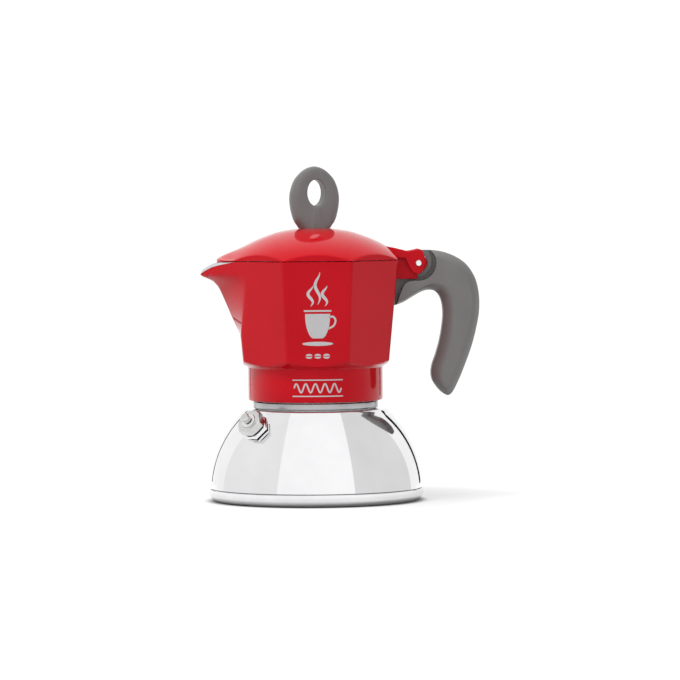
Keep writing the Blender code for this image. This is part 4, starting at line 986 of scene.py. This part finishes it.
# %% Ears of the lid
EAR_MIDDLE = 5.9 * MM
EAR_HALF = 1.08 * MM
WEB_HALF = 6.6 * MM
EDGE_EASE = 0.35 * MM
ear_root = [(-11.2, 2.7), (-12.1, 4.6), (-14.2, 6.6), (-16.4, 8.4)]
ear_hub = [(-11.0, 7.3), (-7.5, 6.4), (-5.3, 5.85), (-2.6, 6.3), (-0.1, 6.9), (1.1, 6.6), (2.1, 5.6),
           (2.9, 3.2), (3.2, 0.2), (2.5, -3.0), (1.3, -4.8), (-0.2, -5.5), (-2.8, -4.6), (-4.7, -1.6),
           (-6.5, 2.5)]
ear_points = from_pin(ear_root + ear_hub)
for name, middle in (("lid_ear_front", -EAR_MIDDLE), ("lid_ear_back", EAR_MIDDLE)):
    ear = plate(name, ear_points, middle - EAR_HALF, middle + EAR_HALF, EDGE_EASE)
    bore_for_pin(ear)
    finish(ear, "lid", "red_lacquer", red_paint, angle=28.0)
web_points = from_pin(ear_root + [(-11.0, 7.1), (-8.4, 6.3), (-8.4, 3.0)])
web = plate("lid_ear_web", web_points, -WEB_HALF, WEB_HALF, EDGE_EASE)
finish(web, "lid", "red_lacquer", red_paint, angle=28.0)

# %% Hinge pin with domed heads
PIN_RADIUS = 1.2 * MM
HEAD_RADIUS = 1.4 * MM
HEAD_FROM = 7.0 * MM
HEAD_EDGE = 7.9 * MM
HEAD_TOP = 7.95 * MM
profile = [(0.0, HEAD_TOP), (HEAD_RADIUS, HEAD_EDGE), (HEAD_RADIUS, HEAD_FROM), (PIN_RADIUS, HEAD_FROM)]
profile += [(radius, -y) for radius, y in reversed(profile)]
hinge = spin("hinge_rivet", soften(profile, 0.3 * MM), steps=64)
hinge.rotation_euler = (math.pi / 2, 0.0, 0.0)
hinge.location = (HUB_X, 0.0, HUB_Z)
finish(hinge, "collector", "satin_steel", satin_steel, "hinge_pin")

# %% [markdown]
# ## The knob
#
# The knob is an egg-shaped loop of grey nylon with a narrow eye, turned a little from the front. A torus
# primitive already has the right topology. Each of its sections is stretched from the eye's edge to the egg's
# outline, flattened across, and the whole is cut flat where it stands on the lid.

# %% Knob from a torus
KNOB_FOOT = CROWN_Z + 0.02 * MM
KNOB_TURN = math.radians(19.0)
KNOB_RISE = 17.3                                # mm from the foot's plane to the eye's middle
KNOB_TOP = 30.15
EYE_ACROSS = 4.6                                # half the eye's width and height, in mm
EYE_UP = 6.4
# Half widths and half depths, in mm, each as (height over the foot, value).
knob_widths = smooth_line([(-6.0, 4.6), (0.0, 7.95), (4.2, 10.7), (11.2, 12.4), (17.2, 12.35), (23.2, 10.3),
                           (27.0, 7.1), (29.1, 4.1), (30.05, 1.2), (KNOB_TOP, 0.0)], 6)
knob_depths = smooth_line([(-6.0, 4.7), (0.0, 4.4), (7.2, 3.85), (17.0, 3.75), (25.0, 3.55), (28.5, 3.1),
                           (30.7, 2.6)], 4)
EYE_SQUARE = 0.20                               # below 1 tightens the edge: crisp at the eye,
RIM_SQUARE = 0.80                               # soft at the rim


def egg_reach(turn):
    """Distance from the eye's middle to the egg's outline along a ray, in mm."""
    near, far = 0.0, 30.0
    for _ in range(40):
        middle = (near + far) / 2
        rise = KNOB_RISE + middle * math.sin(turn)
        width = value_on(knob_widths, rise) if rise < KNOB_TOP else 0.0
        if abs(middle * math.cos(turn)) < width:
            near = middle
        else:
            far = middle
    return near


def fuller(value, square):
    return math.copysign(abs(value) ** square, value)


deselect()
bpy.ops.mesh.primitive_torus_add(major_segments=128, minor_segments=32, major_radius=1.0, minor_radius=0.3)
knob = bpy.context.object
knob.name = "knob_loop"
for vertex in knob.data.vertices:
    turn = math.atan2(vertex.co.y, vertex.co.x)
    section = math.atan2(vertex.co.z, math.hypot(vertex.co.x, vertex.co.y) - 1.0)
    eye = 1.0 / math.hypot(math.cos(turn) / EYE_ACROSS, math.sin(turn) / EYE_UP)
    outer = egg_reach(turn)
    middle = (eye + outer) / 2
    square = RIM_SQUARE if math.cos(section) > 0 else EYE_SQUARE
    reach = middle + (outer - eye) / 2 * fuller(math.cos(section), square)
    rise = KNOB_RISE + middle * math.sin(turn)
    depth = value_on(knob_depths, rise) * fuller(math.sin(section), square)
    across = reach * math.cos(turn)
    x = across * math.cos(KNOB_TURN) - depth * math.sin(KNOB_TURN)
    y = across * math.sin(KNOB_TURN) + depth * math.cos(KNOB_TURN)
    vertex.co = (x * MM, y * MM, KNOB_FOOT + (KNOB_RISE + reach * math.sin(turn)) * MM)
edit(knob)
bpy.ops.mesh.bisect(plane_co=(0, 0, KNOB_FOOT), plane_no=(0, 0, 1), clear_inner=True, use_fill=True)
bpy.ops.object.mode_set(mode="OBJECT")
close_up(knob)
finish(knob, "lid", "grey_nylon", grey_nylon, "lid_knob", angle=40.0)

# %% [markdown]
# ## Bracket and handle
#
# The bracket is part of the collector's casting. Its arm reaches out to the hub that the pin passes through.
# The handle hooks over the bracket. Its outline is a smooth curve, and its flanks rise from a narrow
# wall at the edge to a flat between two soft ridges. So its rings are not plain offsets: each point of the
# outline has a partner on the ridge line, and the rings lie between the two.

# %% Bracket of the collector
ARM_HALF = 4.4 * MM
HUB_HALF = 4.48 * MM
HUB_RADIUS = 4.3 * MM
BRACKET_EASE = 0.3 * MM
arm_outline = [(38.6, 107.55), (50.0, 107.55), (50.0, 114.5), (46.8, 116.2), (45.4, 117.9), (40.5, 117.9),
               (40.2, 116.9), (38.6, 116.5)]                       # x and z in mm
arm_points = [(x * MM, z * MM) for x, z in arm_outline]
arm = plate("bracket_arm", arm_points, -ARM_HALF, ARM_HALF, BRACKET_EASE)
finish(arm, "collector", "red_lacquer", red_paint)
hub_points = arc_points((HUB_X, HUB_Z), HUB_RADIUS, 0.0, math.tau, 64)[:-1]
hub = plate("bracket_hub", hub_points, -HUB_HALF, HUB_HALF, BRACKET_EASE)
bore_for_pin(hub)
finish(hub, "collector", "red_lacquer", red_paint)

# %% Outline and ridge line of the handle
# Points are (x, z) in mm. Each point of an outline has its partner in the ridge of the same name.
back_line = [(52.2, 122.0), (58.2, 121.8), (63.8, 120.7), (69.5, 118.2), (74.2, 114.5), (78.0, 108.5),
             (79.8, 101.5), (80.1, 94.0), (79.2, 87.0), (76.5, 76.0), (72.3, 64.4), (69.3, 57.4),
             (67.0, 53.0), (65.6, 51.4)]
back_ridge = [(52.6, 120.6), (57.9, 118.9), (62.6, 117.3), (67.2, 115.1), (71.1, 111.8), (74.2, 106.9),
              (75.9, 100.8), (76.2, 94.2), (75.4, 87.6), (72.8, 77.2), (68.6, 65.9), (66.0, 60.2),
              (64.3, 57.2), (63.2, 55.8)]
palm_line = [(64.6, 51.0), (63.4, 51.3), (61.1, 52.8), (58.7, 55.5), (56.8, 58.8), (56.3, 62.5),
             (57.0, 66.6), (58.7, 71.3), (60.7, 78.6), (62.0, 86.5), (62.3, 92.5), (61.3, 98.1),
             (59.0, 101.5), (56.0, 102.6), (52.6, 102.0), (48.8, 100.1), (43.2, 96.7)]
palm_ridge = [(63.0, 55.5), (62.8, 55.5), (62.3, 56.2), (61.8, 57.6), (61.6, 59.8), (61.9, 62.8),
              (62.8, 65.8), (64.2, 70.0), (66.1, 77.5), (67.3, 85.8), (67.7, 93.0), (66.6, 100.2),
              (63.0, 104.6), (57.0, 105.9), (52.6, 104.2), (48.4, 101.6), (43.5, 98.2)]
foot_line = [(40.6, 95.3), (38.3, 94.5), (38.9, 101.0), (39.5, 107.45), (45.0, 107.45), (49.9, 107.45),
             (50.9, 115.3)]
foot_ridge = [(41.2, 96.8), (39.4, 96.0), (39.9, 101.1), (40.4, 106.5), (45.0, 106.5), (50.4, 106.6),
              (51.9, 115.2)]
STEPS = 5
SINK = 0.4                                      # mm by which the curved lines sit lower than drawn


def closed_line(back, palm, foot):
    curves = smooth_line(back, STEPS) + smooth_line(palm, STEPS)
    return [(x, z - SINK) for x, z in curves] + foot


outline = closed_line(back_line, palm_line, foot_line)
ridge = closed_line(back_ridge, palm_ridge, foot_ridge)
print("the handle's outline has", len(outline), "points")

# %% Handle with ridged flanks
GRIP_HALF = 8.5                                 # mm to the flat between the ridges
EDGE_HALF = 4.3                                 # mm to the shoulder of the wall along the outline
section = [(0.0, EDGE_HALF - 0.9), (0.015, EDGE_HALF - 0.45), (0.05, EDGE_HALF), (0.2, 5.25), (0.4, 6.4),
           (0.6, 7.3), (0.8, 8.0), (0.92, 8.33), (1.0, 8.45), (1.06, GRIP_HALF)]      # share, half width


def grip_ring(share, y):
    """A ring at a share of the way from the outline to the ridge line."""
    ring = []
    for (x0, z0), (x1, z1) in zip(outline, ridge):
        ring.append(((x0 + (x1 - x0) * share) * MM, y * MM, (z0 + (z1 - z0) * share) * MM))
    return ring


rings = [grip_ring(share, -y) for share, y in reversed(section)]
rings += [grip_ring(share, y) for share, y in section]
grip = cast("handle_grip_body", rings)

# %% [markdown]
# The ears of the lid swing in two round seats, one on each side of the handle's tongue. Under each seat a
# crescent goes deeper, and so does the corner under the bracket, so that the tongue shows as a step. A hole
# through all of it takes the hub.

# %% Seats for the ears
SEAT_RADIUS = 8.6 * MM
SEAT_HALF = 2.8 * MM                            # half the tongue left between the two seats
GROOVE_HALF = 1.2 * MM                          # half the tongue at the bottom of the deeper groove
SEAT_REACH = 12.0 * MM                          # past the flank on both sides
CRESCENT_RADIUS = 7.6 * MM
CRESCENT_SHIFT = (-1.1 * MM, 0.7 * MM)
HUB_HOLE = 4.6 * MM
corner_points = from_pin([(-14.0, -21.5), (-10.9, -20.6), (-9.4, -15.7), (-7.7, -11.6), (-6.6, -9.9),
                          (-4.9, -8.9), (-1.6, -8.5), (-1.6, -7.3), (-14.0, -7.3)])
for low, high, deep_low, deep_high in ((-SEAT_REACH, -SEAT_HALF, -SEAT_REACH, -GROOVE_HALF),
                                       (SEAT_HALF, SEAT_REACH, GROOVE_HALF, SEAT_REACH)):
    carve(grip, cylinder_y(SEAT_RADIUS, HUB_X, HUB_Z, low, high))
    crescent = cylinder_y(SEAT_RADIUS - 0.02 * MM, HUB_X, HUB_Z, deep_low, deep_high)
    carve(crescent, cylinder_y(CRESCENT_RADIUS, HUB_X + CRESCENT_SHIFT[0], HUB_Z + CRESCENT_SHIFT[1],
                               deep_low - MM, deep_high + MM))
    carve(grip, crescent)
    carve(grip, plate("corner", corner_points, deep_low, deep_high, 0.0))
carve(grip, cylinder_y(HUB_HOLE, HUB_X, HUB_Z, -SEAT_REACH, SEAT_REACH))
finish(grip, "collector", "grey_nylon", grey_nylon, "handle_grip", angle=32.0)

# %% [markdown]
# ## Printed motifs
#
# The pot carries two plain motifs in silver ink: a cup with rising steam and three beans on the front facet,
# and a wave between two lines on the collar. Each stroke is a thin ribbon: a rectangle swept along a line and
# laid on the facet or round the collar.

# %% Ink strokes
INK_BELOW = -0.03 * MM
INK_ABOVE = 0.05 * MM


def on_facet(x, z, height):
    """A point of the front facet from mm across and mm up."""
    return (x * MM, -(apothem(z * MM) + height), z * MM)


def on_collar(x, z, height):
    """A point of the collar from mm round it and mm up."""
    turn = x * MM / COLLAR_RADIUS
    radius = COLLAR_RADIUS + height
    return (radius * math.sin(turn), -radius * math.cos(turn), z * MM)


def stroke(line, width, place, taper=0.0):
    """A ribbon along a line of (across, up) points in mm; a taper of 1 thins it to a point at its ends."""
    rings = []
    last = len(line) - 1
    for index, (x, z) in enumerate(line):
        x0, z0 = line[max(index - 1, 0)]
        x1, z1 = line[min(index + 1, last)]
        length = math.hypot(x1 - x0, z1 - z0)
        side_x, side_z = -(z1 - z0) / length, (x1 - x0) / length
        half = width / 2 * (1 - taper * abs(2 * index / last - 1) ** 2)
        near = (x - side_x * half, z - side_z * half)
        far = (x + side_x * half, z + side_z * half)
        rings.append([place(*near, INK_BELOW), place(*far, INK_BELOW), place(*far, INK_ABOVE),
                      place(*near, INK_ABOVE)])
    return cast("stroke", rings)


def gather(name, pieces):
    """Join ink pieces into one object and put it on the collector."""
    deselect()
    for piece in pieces:
        piece.select_set(True)
    bpy.context.view_layer.objects.active = pieces[0]
    bpy.ops.object.join()
    pieces[0].name = name
    finish(pieces[0], "collector", "bare_aluminium", silver_ink)


def filled(outline):
    return cast("patch", [[on_facet(x, z, INK_BELOW) for x, z in outline],
                          [on_facet(x, z, INK_ABOVE) for x, z in outline]])


# %% Cup, saucer and steam on the front facet
cup_side = smooth_line([(6.0, 92.0), (5.9, 89.0), (5.2, 85.0), (3.8, 81.6), (2.4, 80.2)], 5)
cup = filled(cup_side + [(-x, z) for x, z in reversed(cup_side)])
saucer = filled([(7.4 * x, 77.6 + z) for x, z in arc_points((0.0, 0.0), 1.0, 0.0, math.tau, 40)[:-1]])
cup_ear = smooth_line([(5.6, 90.4), (7.4, 90.6), (8.6, 88.8), (7.6, 86.2), (5.0, 84.9)], 6)
handle_arc = stroke(cup_ear, 0.9, on_facet)
rim_line = stroke([(-6.6 + 13.2 * step / 12, 93.4) for step in range(13)], 0.8, on_facet)
steam = []
for middle, foot, top in ((-3.4, 95.6, 105.5), (0.0, 96.4, 112.0), (3.4, 95.6, 105.5)):
    curl = []
    for step in range(33):
        share = step / 32
        sway = 1.15 * math.sin(math.tau * 1.25 * share)
        curl.append((middle + sway, foot + (top - foot) * share))
    steam.append(stroke(curl, 1.5, on_facet, taper=0.9))
beans = []
for middle in (-4.2, 0.0, 4.2):
    for side in (-1, 1):
        arc = arc_points((0.0, 0.0), 1.0, 0.0, math.pi, 16)
        beans.append(filled([(middle + 1.6 * x, 71.6 + side * (0.22 + 0.95 * z)) for x, z in arc]))
gather("facet_motif", [cup, saucer, handle_arc, rim_line] + steam + beans)

# %% Wave between two lines on the collar
lines = [stroke([(-12.4 + 24.8 * step / 40, height) for step in range(41)], 0.55, on_collar)
         for height in (52.2, 60.0)]
wave = []
for step in range(161):
    share = step / 160
    wave.append((-11.6 + 23.2 * share, 56.1 + 2.1 * math.sin(math.tau * 5 * share)))
gather("collar_motif", lines + [stroke(wave, 0.75, on_collar)])
